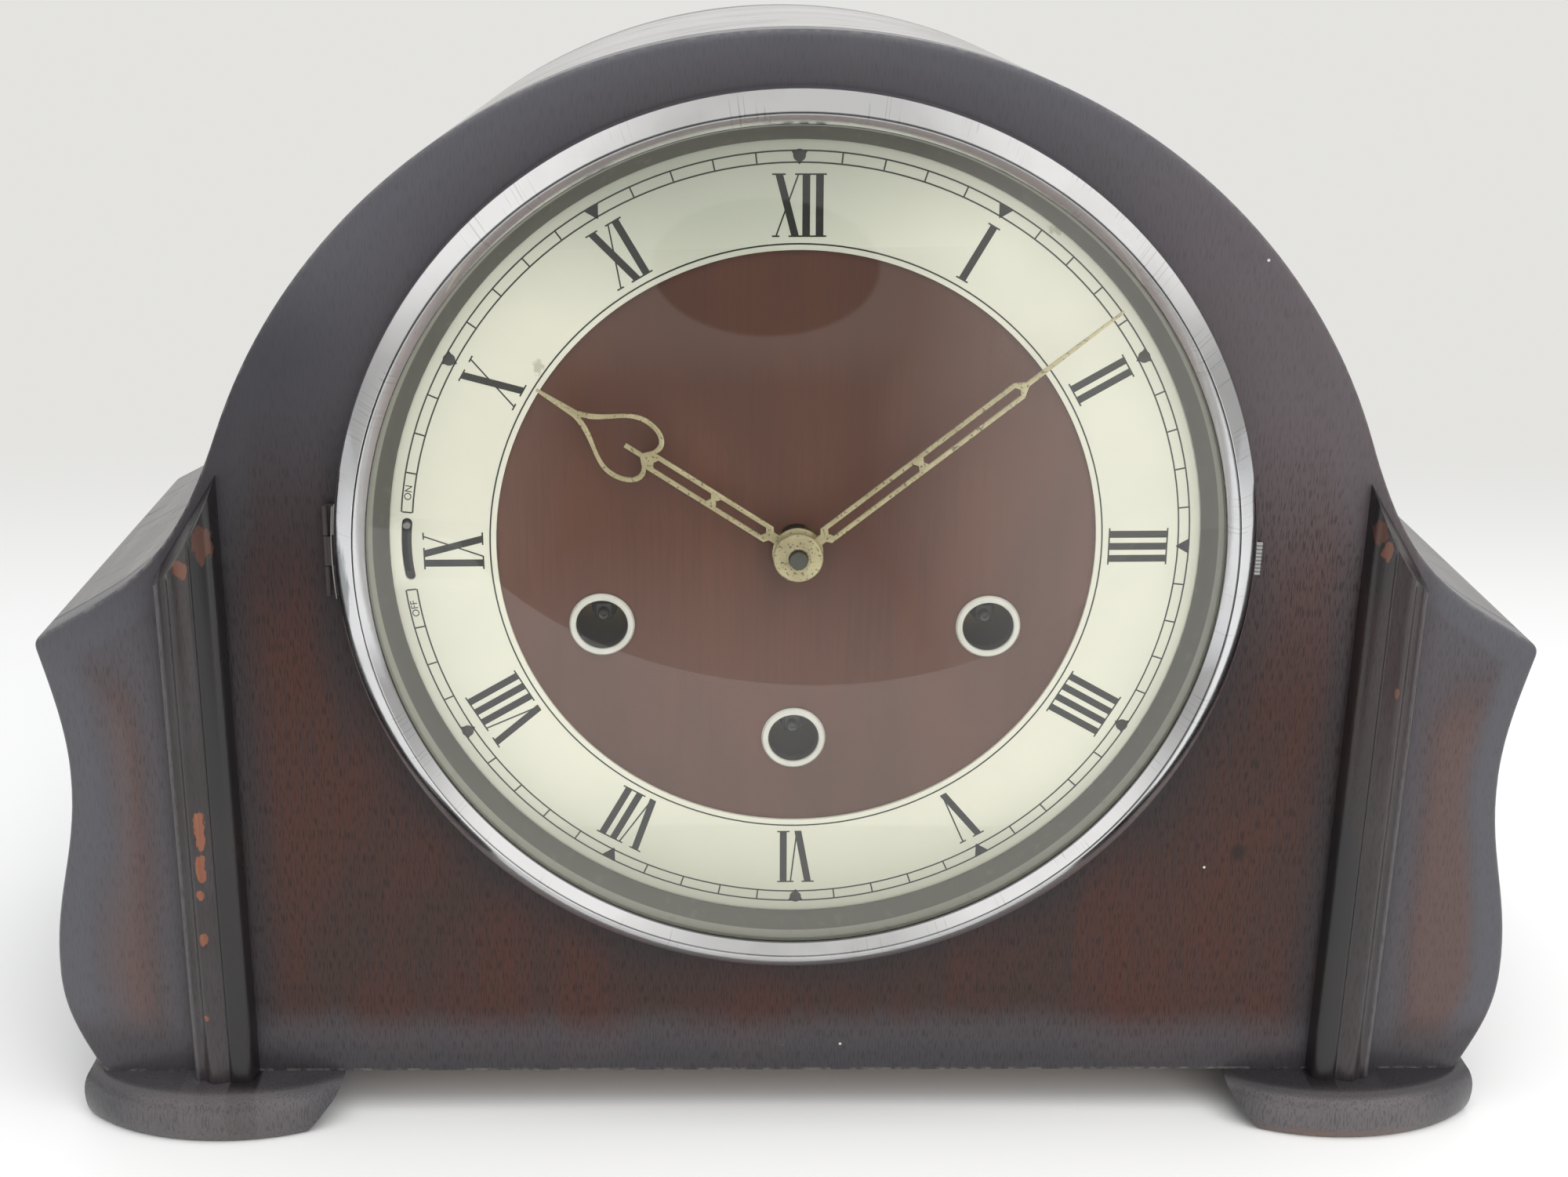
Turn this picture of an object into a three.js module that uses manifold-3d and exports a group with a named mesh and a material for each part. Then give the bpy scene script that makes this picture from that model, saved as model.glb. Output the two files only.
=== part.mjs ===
// A chiming mantel clock with a round dial, as separate closed solids.
// Millimetres, +Z up, the dial faces -Y. Every piece is drawn around the dial centre, with y = 0 on the
// face of the front panel; the finished clock is then stood on its feet and centred front to back.

import * as THREE from "three";
import { mergeVertices } from "three/addons/utils/BufferGeometryUtils.js";
import Module from "manifold-3d";

const wasm = await Module();
wasm.setup();

// Clearances
const TURNED_GAP = 0.3; // between turned or moving neighbours
const JOIN_LAP = 0.5; // how far joined forms run into each other
const RUNNING_GAP = 0.1; // between a shaft and its hole

// Case outline, as half widths and drops below the dial centre
const UNDERSIDE_DROP = 119.6;
const ARCH_RADIUS = 120.5;
const ARCH_CENTRE_DROP = 18.4;
const ARCH_END_DEGREES = 20.6; // above level, where the arch runs into the shoulder
const TIP_HALF_WIDTH = 153.2;
const TIP_DROP = 20.2;
const SHOULDER_ARCH_HANDLE = 30;
const SHOULDER_TIP_HANDLE = 24;
const SHOULDER_TIP_DEGREES = 30; // slope of the shoulder at its tip
const WAIST_HALF_WIDTH = 148.5;
const WAIST_DROP = 49;
const BELLY_HALF_WIDTH = 155;
const BELLY_DROP = 96;
const UNDERSIDE_HALF_WIDTH = 148;

// Case boards
const CASE_DEPTH = 115;
const CASE_TAPER = 6.8; // how far the outline draws in by the back
const FRONT_THICKNESS = 10;
const FRONT_EDGE_ROUND = 1.2;
const BACK_THICKNESS = 9;
const WALL = 4;
const BASE_THICKNESS = 8;
const DIAL_OPENING_RADIUS = 87;

// Feet
const FOOT_HEIGHT = 11;
const FOOT_INNER_X = 96.6;
const FOOT_OUTER_X = 150;
const FOOT_BOW = 8.1; // how far the top edge bows in front of the panel
const FOOT_BULGE = 3.4; // how far the round edge stands beyond the top edge
const FOOT_INNER_SLOPE = 0.72; // the inner end leans this much outwards per millimetre down
const FOOT_LENGTH = 100;

// Pilasters
const PILASTER_INNER_X = 115.5;
const PILASTER_TOP_MARGIN = 4; // below the shoulder's edge
const REED_INNER_WIDTH = 5.5;
const REED_INNER_CROWN = 5;
const REED_MIDDLE_WIDTH = 5;
const REED_MIDDLE_CROWN = 5.4;
const REED_OUTER_WIDTH = 4;
const REED_OUTER_CROWN = 3.6;
const REED_ROOT = 0.35; // height of the grooves, as a share of the crown

// Back door
const DOOR_HALF_WIDTH = 88;
const DOOR_BOTTOM_DROP = 100;
const DOOR_LAP = 6; // how far the door overlaps its opening
const DOOR_THICKNESS = 5;
const DOOR_HINGE_SPACING = 100;
const DOOR_HINGE_MID_DROP = 38;
const KNOB_LENGTH = 10;
const KNOB_RADIUS = 5;

// Hinges
const DOOR_HINGE = { pin: 0.9, knuckle: 2, leaf: 1.2, half: 9, reach: 11 };
const BEZEL_HINGE = { pin: 0.7, knuckle: 1.5, leaf: 0.8, half: 9.5, reach: 5 };

// Bezel and glass
const BEZEL_OVERLAP = 4.2; // rim beyond the dial opening
const BEZEL_RIM_HEIGHT = 3.6;
const BEZEL_FACET_WIDTH = 3.1; // from the rim in to the groove
const BEZEL_BORE_LEDGE = 0.5; // bore inside the dial opening
const BEZEL_LIP_WIDTH = 1.3;
const BEZEL_LIP_THICKNESS = 1.3;
const SEAT_THICKNESS = 0.8;
const TAB_REACH = 1.1;
const TAB_HEIGHT = 6.6;
const GLASS_THICKNESS = 2;
const GLASS_RISE = 6.5;
const HAND_GLASS_GAP = 0.3; // at the minute hand's tip
const SIGHT_WIDTH = 5.5;

// Dial
const DIAL_SETBACK = 1.2; // chapter ring's face behind the panel's face
const CHAPTER_THICKNESS = 0.8;
const CHAPTER_INNER_RADIUS = 60.2;
const CHAPTER_MARGIN = 2; // dial plate beyond the chapter ring
const DIAL_EDGE_GAP = 1; // dial plate inside the opening
const DIAL_THICKNESS = 1;
const DIAL_FOOT_RADIUS = 2;
const DIAL_CENTRE_HOLE = 5;
const BUSH_FLANGE_RADIUS = 6.45;
const BUSH_BORE_RADIUS = 5.25;
const BUSH_WALL = 0.4;
const BUSH_FLANGE_HEIGHT = 0.9;
const BUSH_DEPTH = 2.2;
const WINDING_SPREAD = 39.2; // side holes from the centre line
const WINDING_SIDE_DROP = 16.6;
const WINDING_CENTRE_DROP = 41.4;

// Hands, as angles clockwise from XII
const HOUR_DEGREES = -57.3;
const MINUTE_DEGREES = 50.9;
const HAND_THICKNESS = 0.6;
const HAND_SPACING = 2;
const HOUR_HAND_LIFT = 2.2; // hour hand's back in front of the chapter ring
const HOUR_HUB_RADIUS = 5.1;
const HOUR_LENGTH = 60.8;
const HOUR_FORK = 52;
const HOUR_BAR_END = 34.6;
const HOUR_LINK = 20;
const HEART_HALF_WIDTH = 6.8;
const MINUTE_HUB_RADIUS = 4.6;
const MINUTE_TIP_GAP = 2; // short of the sight ring
const MINUTE_BAR_END = 55;
const MINUTE_LINK = 30.5;
const BAR_START = 7;
const BAR_HALF_WIDTH = 1.85;
const BAR_STROKE = 0.92;
const COLLET_RADIUS = 4.95;
const COLLET_HEIGHT = 1.8;
const ARBOR_TIP = 1; // centre arbor in front of the collet

// Movement frame
const MOVEMENT_SETBACK = 14; // front plate behind the panel's face
const PLATE_THICKNESS = 2;
const PLATE_SPACING = 40;
const PLATE_MARGIN = 2.5;
const PLATE_FOOT_MARGIN = 12;
const PILLAR_RADIUS = 3;
const PILLAR_INSET = 6;
const BRACKET_HEIGHT = 16;
const BRACKET_LIFT = 11; // its middle above the dial centre
const BRACKET_LAP = 10;
const BRACKET_LAND_GAP = 2; // strap beyond the dial opening before it meets the panel
const BRACKET_WALL_GAP = 4.8;

// Arbors and wheels
const CENTRE_ARBOR_RADIUS = 1.8;
const PIPE_WALL = 0.6;
const WINDING_ARBOR_RADIUS = 2.6;
const WINDING_SQUARE = 4.4;
const WINDING_SQUARE_SETBACK = 4;
const WINDING_SHOULDER = 2; // round part in front of the front plate
const STUD_RADIUS = 1.2;
const PIVOT_RADIUS = 1.2;
const MOTION_MODULE = 0.5;
const CANNON_TEETH = 12;
const MINUTE_WHEEL_TEETH = 36;
const MINUTE_PINION_TEETH = 12;
const HOUR_WHEEL_TEETH = 48;
const MOTION_LIFT = 0.5;
const MOTION_SPACING = 3;
const MOTION_WHEEL_THICKNESS = 1.5;
const CANNON_LENGTH = 3;
const MINUTE_ARBOR_DEGREES = 60;
const TRAIN_MODULE = 0.6;
const CENTRE_PINION_TEETH = 12;
const INTERMEDIATE_TEETH = 60;
const INTERMEDIATE_PINION_TEETH = 20;
const INTERMEDIATE_OFFSET = 11;
const GREAT_WHEEL_TEETH = 72;
const CENTRE_WHEEL_TEETH = 64;
const WHEEL_THICKNESS = 2;
const BARREL_END_GAP = 3.5; // drum in front of the back plate
const CENTRE_PINION_SETBACK = 4; // levels behind the front plate
const INTERMEDIATE_SETBACK = 6;
const SIDE_DRUM_SETBACK = 10;
const GREAT_WHEEL_SETBACK = 14;
const CENTRE_WHEEL_SETBACK = 24;
const CENTRE_PINION_LENGTH = 6;
const INTERMEDIATE_PINION_OVERRUN = 3;
const GREAT_WHEEL_THICKNESS = 3;

// Escapement
const ESCAPE_HEIGHT = 24;
const ESCAPE_RADIUS = 11;
const ESCAPE_TEETH = 32;
const ESCAPE_GAP = 4; // behind the centre wheel
const ESCAPE_THICKNESS = 1.2;
const ANCHOR_HEIGHT = 42;
const ANCHOR_CLEARANCE = 1.5; // pallets clear the wheel at full swing
const CRUTCH_LENGTH = 22;
const CRUTCH_SETBACK = 3.5; // behind the back plate
const PENDULUM_SETBACK = 10;
const PENDULUM_PIVOT_HEIGHT = 55;
const PENDULUM_LENGTH = 93;
const PENDULUM_ROD_RADIUS = 0.9;
const BOB_RADIUS = 14;
const BOB_THICKNESS = 6;
const COCK_WIDTH = 10;
const COCK_THICKNESS = 2;

// Chime lever
const LEVER_PIVOT_X = -40;
const LEVER_STUD_RADIUS = 0.6;
const LEVER_SLOT_HALF_WIDTH = 0.95;
const LEVER_EDGE_GAP = 2.4; // slot's middle inside the sight ring
const LEVER_DEGREES = 6.85; // above level at rest, and as far below at silent
const LEVER_THICKNESS = 1.5;
const LEVER_SETBACK = 6;

// Chime
const GONG_COUNT = 4;
const GONG_FIRST_SETBACK = 10; // first rod behind the back plate
const GONG_BACK_MARGIN = 14; // last rod in front of the back frame
const GONG_BLOCK_MARGIN = 6;
const GONG_RADIUS = 1.6;
const GONG_LIFT = 15.6; // rods above the base board
const GONG_LENGTH = 172;
const GONG_STEP = 10;
const GONG_BLOCK_X = 92;
const GONG_BLOCK_LENGTH = 20;
const GONG_BLOCK_TOP_MARGIN = 6;
const HAMMER_PIVOT_X = -18;
const HAMMER_PIVOT_DROP = 62;
const HAMMER_ARBOR_RADIUS = 1.8;
const HAMMER_BOSS_RADIUS = 4;
const HAMMER_ARM_THICKNESS = 1.6;
const HAMMER_HEAD_X = 14;
const HAMMER_HEAD_GAP = 1.4; // between neighbouring heads
const HAMMER_STUD_OVERHANG = 5;
const HAMMER_HEAD_LENGTH = 10;
const HAMMER_LIFT_GAP = 1.5; // head above its rod at rest

// Facets
const FINE = 48;
const MEDIUM = 20;
const COARSE = 12;
const CURVE_STEPS = 7;

// Finishes
const finishes = {
  mahogany: { color: 0x43241c, roughness: 0.42, metalness: 0 },
  dark_wood: { color: 0x2c2220, roughness: 0.45, metalness: 0 },
  raw_wood: { color: 0x7d5a3a, roughness: 0.75, metalness: 0 },
  chrome: { color: 0xc9cccf, roughness: 0.12, metalness: 1 },
  glass: { color: 0xf4f7f5, roughness: 0.03, metalness: 0, transparent: true, opacity: 0.2 },
  silvered: { color: 0xd9dccb, roughness: 0.4, metalness: 0.1 },
  dial_brown: { color: 0x593a2d, roughness: 0.5, metalness: 0 },
  gilt: { color: 0xc3ab7f, roughness: 0.35, metalness: 0.8 },
  brass: { color: 0xb9924a, roughness: 0.35, metalness: 1 },
  steel: { color: 0x8d9093, roughness: 0.35, metalness: 1 },
  iron: { color: 0x3a3b3d, roughness: 0.6, metalness: 0.6 },
};

// Radii that follow from the dial opening
const bezelRadius = DIAL_OPENING_RADIUS + BEZEL_OVERLAP;
const bezelGrooveRadius = bezelRadius - BEZEL_FACET_WIDTH;
const bezelBoreRadius = DIAL_OPENING_RADIUS - BEZEL_BORE_LEDGE;
const bezelLipRadius = bezelBoreRadius - BEZEL_LIP_WIDTH;
const glassRadius = bezelBoreRadius - TURNED_GAP;
const sightRadius = bezelBoreRadius - SIGHT_WIDTH;
const dialRadius = DIAL_OPENING_RADIUS - DIAL_EDGE_GAP;
const chapterOuterRadius = dialRadius - CHAPTER_MARGIN;
const minuteLength = sightRadius - MINUTE_TIP_GAP;
const leverReach = sightRadius - LEVER_EDGE_GAP + LEVER_PIVOT_X;

// Levels along the depth that follow from the sizes above
const chapterFaceY = DIAL_SETBACK;
const dialFaceY = chapterFaceY + CHAPTER_THICKNESS;
const dialBackY = dialFaceY + DIAL_THICKNESS;
const frontPlateY = MOVEMENT_SETBACK;
const frontPlateBackY = frontPlateY + PLATE_THICKNESS;
const backPlateY = frontPlateBackY + PLATE_SPACING;
const backPlateBackY = backPlateY + PLATE_THICKNESS;
const centreWheelY = frontPlateBackY + CENTRE_WHEEL_SETBACK;
const hourHandBackY = chapterFaceY - HOUR_HAND_LIFT;
const minuteHandBackY = hourHandBackY - HAND_THICKNESS - HAND_SPACING;
const colletBackY = minuteHandBackY - HAND_THICKNESS;
const bezelBackY = -SEAT_THICKNESS - TURNED_GAP;
const glassOverTip = GLASS_RISE * (1 - (minuteLength / glassRadius) ** 2);
const glassEdgeY = colletBackY - HAND_GLASS_GAP - GLASS_THICKNESS + glassOverTip;
const bezelFrontY = glassEdgeY - BEZEL_LIP_THICKNESS - TURNED_GAP;
const glassFrontY = glassEdgeY - GLASS_RISE;
const doorFrontY = CASE_DEPTH + TURNED_GAP;
const doorBackY = doorFrontY + DOOR_THICKNESS;
const knobBackY = doorBackY + KNOB_LENGTH;

// Wheel train that follows from the teeth
const motionDistance = (MOTION_MODULE * (CANNON_TEETH + MINUTE_WHEEL_TEETH)) / 2;
const hourModule = (2 * motionDistance) / (MINUTE_PINION_TEETH + HOUR_WHEEL_TEETH);
const trainDistance = (TRAIN_MODULE * (CENTRE_PINION_TEETH + INTERMEDIATE_TEETH)) / 2;
const barrelLength = PLATE_SPACING - GREAT_WHEEL_SETBACK - GREAT_WHEEL_THICKNESS + JOIN_LAP - BARREL_END_GAP;
const centreArbor = new THREE.Vector2(0, 0);
const minuteArbor = polar(motionDistance, THREE.MathUtils.degToRad(MINUTE_ARBOR_DEGREES));
const timeBarrel = new THREE.Vector2(0, -WINDING_CENTRE_DROP);
const strikeBarrel = new THREE.Vector2(-WINDING_SPREAD, -WINDING_SIDE_DROP);
const chimeBarrel = new THREE.Vector2(WINDING_SPREAD, -WINDING_SIDE_DROP);
const intermediateArbor = new THREE.Vector2(
  INTERMEDIATE_OFFSET,
  -Math.sqrt(trainDistance ** 2 - INTERMEDIATE_OFFSET ** 2),
);
const greatDistance = intermediateArbor.distanceTo(timeBarrel);
const greatModule = (2 * greatDistance) / (INTERMEDIATE_PINION_TEETH + GREAT_WHEEL_TEETH);
const greatTipRadius = tipRadius(GREAT_WHEEL_TEETH, greatModule);
const drumRadius = rootRadius(GREAT_WHEEL_TEETH, greatModule) - 2;
const escapeArbor = new THREE.Vector2(0, ESCAPE_HEIGHT);
const anchorArbor = new THREE.Vector2(0, ANCHOR_HEIGHT);
const leverPivot = new THREE.Vector2(LEVER_PIVOT_X, 0);
const plateHalfWidth = WINDING_SPREAD + greatTipRadius + PLATE_MARGIN;
const plateTop = ANCHOR_HEIGHT + PILLAR_INSET + PILLAR_RADIUS + 1;
const plateBottom = -WINDING_CENTRE_DROP - greatTipRadius - PLATE_FOOT_MARGIN;
const cannonPipeRadius = CENTRE_ARBOR_RADIUS + RUNNING_GAP + PIPE_WALL;
const hourPipeBore = cannonPipeRadius + RUNNING_GAP + 0.05;
const hourPipeRadius = hourPipeBore + PIPE_WALL;
const hammerPivot = new THREE.Vector2(HAMMER_PIVOT_X, -HAMMER_PIVOT_DROP);
const gongDrop = UNDERSIDE_DROP - BASE_THICKNESS - GONG_LIFT;
const firstRodY = backPlateBackY + GONG_FIRST_SETBACK;
const lastRodY = CASE_DEPTH - BACK_THICKNESS - GONG_BACK_MARGIN;
const rodSpacing = (lastRodY - firstRodY) / (GONG_COUNT - 1);
const hammerHeadRadius = (rodSpacing - HAMMER_HEAD_GAP) / 2;

// Wheel teeth are plain points, thin enough to run with play
function tipRadius(teeth, module) {
  return (module * teeth) / 2 + 0.6 * module;
}

function rootRadius(teeth, module) {
  return (module * teeth) / 2 - module;
}

function polar(radius, angle) {
  return new THREE.Vector2(radius * Math.cos(angle), radius * Math.sin(angle));
}

function direction(from, to) {
  return Math.atan2(to.y - from.y, to.x - from.x);
}

// Solids from meshes, and back
function solid(geometry) {
  const bare = geometry.clone();
  bare.deleteAttribute("normal");
  bare.deleteAttribute("uv");
  const merged = mergeVertices(bare, 1e-4);
  const vertProperties = new Float32Array(merged.attributes.position.array);
  const triVerts = new Uint32Array(merged.index.array);
  return new wasm.Manifold(new wasm.Mesh({ numProp: 3, vertProperties, triVerts }));
}

function geometryOf(manifold) {
  const mesh = manifold.getMesh();
  const geometry = new THREE.BufferGeometry();
  geometry.setAttribute("position", new THREE.BufferAttribute(new Float32Array(mesh.vertProperties), 3));
  geometry.setIndex(new THREE.BufferAttribute(new Uint32Array(mesh.triVerts), 1));
  return geometry;
}

function join(first, ...others) {
  return geometryOf(others.reduce((sum, next) => sum.add(solid(next)), solid(first)));
}

function cut(first, ...others) {
  return geometryOf(others.reduce((rest, next) => rest.subtract(solid(next)), solid(first)));
}

function piece(name, geometry, finish) {
  const mesh = new THREE.Mesh(geometry, new THREE.MeshStandardMaterial(finishes[finish]));
  mesh.name = name;
  return mesh;
}

// Basic forms in the clock's frame
function plate(shape, frontY, backY, segments = MEDIUM) {
  const geometry = new THREE.ExtrudeGeometry(shape, {
    depth: backY - frontY,
    bevelEnabled: false,
    curveSegments: segments,
  });
  geometry.rotateX(Math.PI / 2);
  geometry.translate(0, backY, 0);
  return geometry;
}

function disc(centre, radius, frontY, backY, segments = MEDIUM) {
  const geometry = new THREE.CylinderGeometry(radius, radius, backY - frontY, segments);
  geometry.translate(centre.x, (frontY + backY) / 2, centre.y);
  return geometry;
}

function block(x0, x1, y0, y1, z0, z1) {
  const geometry = new THREE.BoxGeometry(x1 - x0, y1 - y0, z1 - z0);
  geometry.translate((x0 + x1) / 2, (y0 + y1) / 2, (z0 + z1) / 2);
  return geometry;
}

function upright(x, y, radius, z0, z1, segments = COARSE) {
  const geometry = new THREE.CylinderGeometry(radius, radius, z1 - z0, segments);
  geometry.rotateX(Math.PI / 2);
  geometry.translate(x, y, (z0 + z1) / 2);
  return geometry;
}

function turned(profile, centre, segments = FINE) {
  const points = profile.map(([radius, y]) => new THREE.Vector2(radius, y));
  if (THREE.ShapeUtils.area(points) < 0) {
    points.reverse();
  }
  const geometry = new THREE.LatheGeometry([...points, points[0].clone()], segments);
  geometry.translate(centre.x, 0, centre.y);
  return geometry;
}

function polygon(points) {
  return new THREE.Shape(points.map(([x, y]) => new THREE.Vector2(x, y)));
}

function roundHole(centre, radius) {
  return new THREE.Path().absarc(centre.x, centre.y, radius, 0, 2 * Math.PI, true);
}

// A solid through equal rings of points, closed by a cap at each end.
// Both caps take their triangles from one simple pattern ring.
function loft(rings, flat, pattern = rings[0]) {
  const turnsRight = THREE.ShapeUtils.area(pattern.map(flat)) < 0;
  const forwards = (ring) => (turnsRight ? [...ring].reverse() : ring);
  const loops = rings.map(forwards);
  const count = pattern.length;
  const index = [];
  for (let level = 0; level + 1 < loops.length; level += 1) {
    for (let i = 0; i < count; i += 1) {
      const a = level * count + i;
      const b = level * count + ((i + 1) % count);
      index.push(a, b, b + count, a, b + count, a + count);
    }
  }
  const last = (loops.length - 1) * count;
  for (const [a, b, c] of THREE.ShapeUtils.triangulateShape(forwards(pattern).map(flat), [])) {
    index.push(c, b, a);
    index.push(last + a, last + b, last + c);
  }
  const geometry = new THREE.BufferGeometry();
  const values = loops.flat().flatMap((point) => [point.x, point.y, point.z]);
  geometry.setAttribute("position", new THREE.Float32BufferAttribute(values, 3));
  geometry.setIndex(index);
  return geometry;
}

const seenFromBack = (point) => new THREE.Vector2(point.z, point.x);
const seenFromAbove = (point) => new THREE.Vector2(point.x, point.y);

// The case's outline, from the right underside corner over the arch to the left one
function caseOutline() {
  const archEnd = THREE.MathUtils.degToRad(ARCH_END_DEGREES);
  const tipSlope = THREE.MathUtils.degToRad(SHOULDER_TIP_DEGREES);
  const tip = new THREE.Vector2(TIP_HALF_WIDTH, -TIP_DROP);
  const arch = polar(ARCH_RADIUS, archEnd).add(new THREE.Vector2(0, -ARCH_CENTRE_DROP));
  const bellyHandle = 0.4 * (UNDERSIDE_DROP - BELLY_DROP);
  const waveHandle = 0.4 * (BELLY_DROP - WAIST_DROP);
  const tipHandle = 0.35 * (WAIST_DROP - TIP_DROP);
  const path = new THREE.Path();
  path.moveTo(UNDERSIDE_HALF_WIDTH, -UNDERSIDE_DROP);
  path.bezierCurveTo(
    UNDERSIDE_HALF_WIDTH + 0.42 * bellyHandle,
    -UNDERSIDE_DROP + 0.9 * bellyHandle,
    BELLY_HALF_WIDTH,
    -BELLY_DROP - bellyHandle,
    BELLY_HALF_WIDTH,
    -BELLY_DROP,
  );
  path.bezierCurveTo(
    BELLY_HALF_WIDTH,
    -BELLY_DROP + waveHandle,
    WAIST_HALF_WIDTH,
    -WAIST_DROP - waveHandle,
    WAIST_HALF_WIDTH,
    -WAIST_DROP,
  );
  path.bezierCurveTo(
    WAIST_HALF_WIDTH,
    -WAIST_DROP + tipHandle,
    TIP_HALF_WIDTH - 0.23 * tipHandle,
    -TIP_DROP - tipHandle,
    tip.x,
    tip.y,
  );
  path.bezierCurveTo(
    tip.x - SHOULDER_TIP_HANDLE * Math.cos(tipSlope),
    tip.y + SHOULDER_TIP_HANDLE * Math.sin(tipSlope),
    arch.x + SHOULDER_ARCH_HANDLE * Math.sin(archEnd),
    arch.y - SHOULDER_ARCH_HANDLE * Math.cos(archEnd),
    arch.x,
    arch.y,
  );
  path.absarc(0, -ARCH_CENTRE_DROP, ARCH_RADIUS, archEnd, Math.PI / 2, false);
  const right = path.getPoints(CURVE_STEPS);
  const left = right.slice(0, -1).map((point) => new THREE.Vector2(-point.x, point.y));
  return [...right, ...left.reverse()];
}

const outline = caseOutline();

// The outline drawn in by a distance; the underside stays level
function drawnIn(distance) {
  const count = outline.length;
  return outline.map((point, i) => {
    const before = i > 0 ? inwardNormal(outline[i - 1], point) : inwardNormal(point, outline[1]);
    const after = i + 1 < count ? inwardNormal(point, outline[i + 1]) : before;
    if (i === 0 || i === count - 1) {
      return new THREE.Vector2(point.x + distance / before.x, point.y);
    }
    const mitre = before.clone().add(after).divideScalar(1 + before.dot(after));
    return point.clone().addScaledVector(mitre, distance);
  });
}

function inwardNormal(from, to) {
  const along = to.clone().sub(from).normalize();
  return new THREE.Vector2(-along.y, along.x);
}

function caseRing(y, extraInset) {
  const inset = (CASE_TAPER * Math.max(y, 0)) / CASE_DEPTH + extraInset;
  return drawnIn(inset).map((point) => new THREE.Vector3(point.x, y, point.y));
}

function caseLoft(...rings) {
  const plain = outline.map((point) => new THREE.Vector3(point.x, 0, point.y));
  return loft(rings, seenFromBack, plain);
}

// Half the clear width between the walls, at a height and a depth
function innerHalfWidth(z, y) {
  const edge = caseRing(y, WALL).filter((point) => point.x > 0);
  const above = edge.findIndex((point) => point.z >= z);
  const lower = edge[above - 1];
  const upper = edge[above];
  return THREE.MathUtils.mapLinear(z, lower.z, upper.z, lower.x, upper.x);
}

function archShape(halfWidth, bottom) {
  const shape = new THREE.Shape();
  shape.moveTo(-halfWidth, bottom);
  shape.lineTo(halfWidth, bottom);
  shape.lineTo(halfWidth, -ARCH_CENTRE_DROP);
  shape.absarc(0, -ARCH_CENTRE_DROP, halfWidth, 0, Math.PI, false);
  return shape;
}

// Case
function frontPanel() {
  const board = caseLoft(
    caseRing(0, FRONT_EDGE_ROUND),
    caseRing(FRONT_EDGE_ROUND * 0.3, FRONT_EDGE_ROUND * 0.3),
    caseRing(FRONT_EDGE_ROUND, 0),
    caseRing(FRONT_THICKNESS, 0),
  );
  const opening = disc(centreArbor, DIAL_OPENING_RADIUS, -1, FRONT_THICKNESS + 1, FINE);
  return cut(board, opening);
}

function caseWrap() {
  const start = FRONT_THICKNESS;
  const end = CASE_DEPTH - BACK_THICKNESS;
  const outer = caseLoft(caseRing(start, 0), caseRing(end, 0));
  const lowered = (ring) => {
    ring[0].z -= WALL;
    ring[ring.length - 1].z -= WALL;
    return ring;
  };
  const hollow = caseLoft(lowered(caseRing(start - 1, WALL)), lowered(caseRing(end + 1, WALL)));
  return cut(outer, hollow);
}

function baseBoard() {
  const start = FRONT_THICKNESS;
  const end = CASE_DEPTH - BACK_THICKNESS;
  const top = -UNDERSIDE_DROP + BASE_THICKNESS;
  const halfWidth = (y) => Math.min(caseRing(y, WALL)[0].x, innerHalfWidth(top, y)) - TURNED_GAP;
  const corners = [
    [-halfWidth(start), start],
    [halfWidth(start), start],
    [halfWidth(end), end],
    [-halfWidth(end), end],
  ];
  const board = new THREE.ExtrudeGeometry(polygon(corners), { depth: BASE_THICKNESS, bevelEnabled: false });
  board.translate(0, 0, -UNDERSIDE_DROP);
  return board;
}

function backFrame() {
  const start = CASE_DEPTH - BACK_THICKNESS;
  const board = caseLoft(caseRing(start, 0), caseRing(CASE_DEPTH, 0));
  const opening = archShape(DOOR_HALF_WIDTH - DOOR_LAP, -DOOR_BOTTOM_DROP + DOOR_LAP);
  return cut(board, plate(opening, start - 1, CASE_DEPTH + 1));
}

// A foot's front edge bows out of the panel; its round edge swells below the top
function footRing(height, side) {
  const swell = FOOT_BULGE * Math.sin((Math.PI / 2) * Math.min(1, (FOOT_HEIGHT - height) / (FOOT_HEIGHT / 2)));
  const tuck = height < FOOT_HEIGHT / 4 ? FOOT_BULGE / 2 : 0;
  const spread = swell - tuck;
  const width = FOOT_OUTER_X - FOOT_INNER_X;
  const edge = new THREE.CubicBezierCurve(
    new THREE.Vector2(FOOT_INNER_X, 0),
    new THREE.Vector2(FOOT_INNER_X + 0.21 * width, -1.3 * FOOT_BOW),
    new THREE.Vector2(FOOT_INNER_X + 0.74 * width, -1.48 * FOOT_BOW),
    new THREE.Vector2(FOOT_OUTER_X, 0.33 * FOOT_BOW),
  );
  const innerX = FOOT_INNER_X + FOOT_INNER_SLOPE * (FOOT_HEIGHT - height);
  let start = 0;
  while (edge.getPoint(start).x < innerX) {
    start += 0.005;
  }
  const ring = [];
  const steps = 2 * CURVE_STEPS;
  for (let i = 0; i <= steps; i += 1) {
    const t = start + ((1 - start) * i) / steps;
    const along = edge.getTangent(t);
    const point = edge.getPoint(t).add(new THREE.Vector2(along.y, -along.x).multiplyScalar(spread));
    ring.push(new THREE.Vector3(point.x, point.y, 0));
  }
  const rearTaper = (CASE_TAPER * FOOT_LENGTH) / CASE_DEPTH;
  ring.push(new THREE.Vector3(ring[ring.length - 1].x - rearTaper, FOOT_LENGTH, 0));
  ring.push(new THREE.Vector3(ring[0].x, FOOT_LENGTH, 0));
  return ring.map((point) => new THREE.Vector3(side * point.x, point.y, height - FOOT_HEIGHT - UNDERSIDE_DROP));
}

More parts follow.
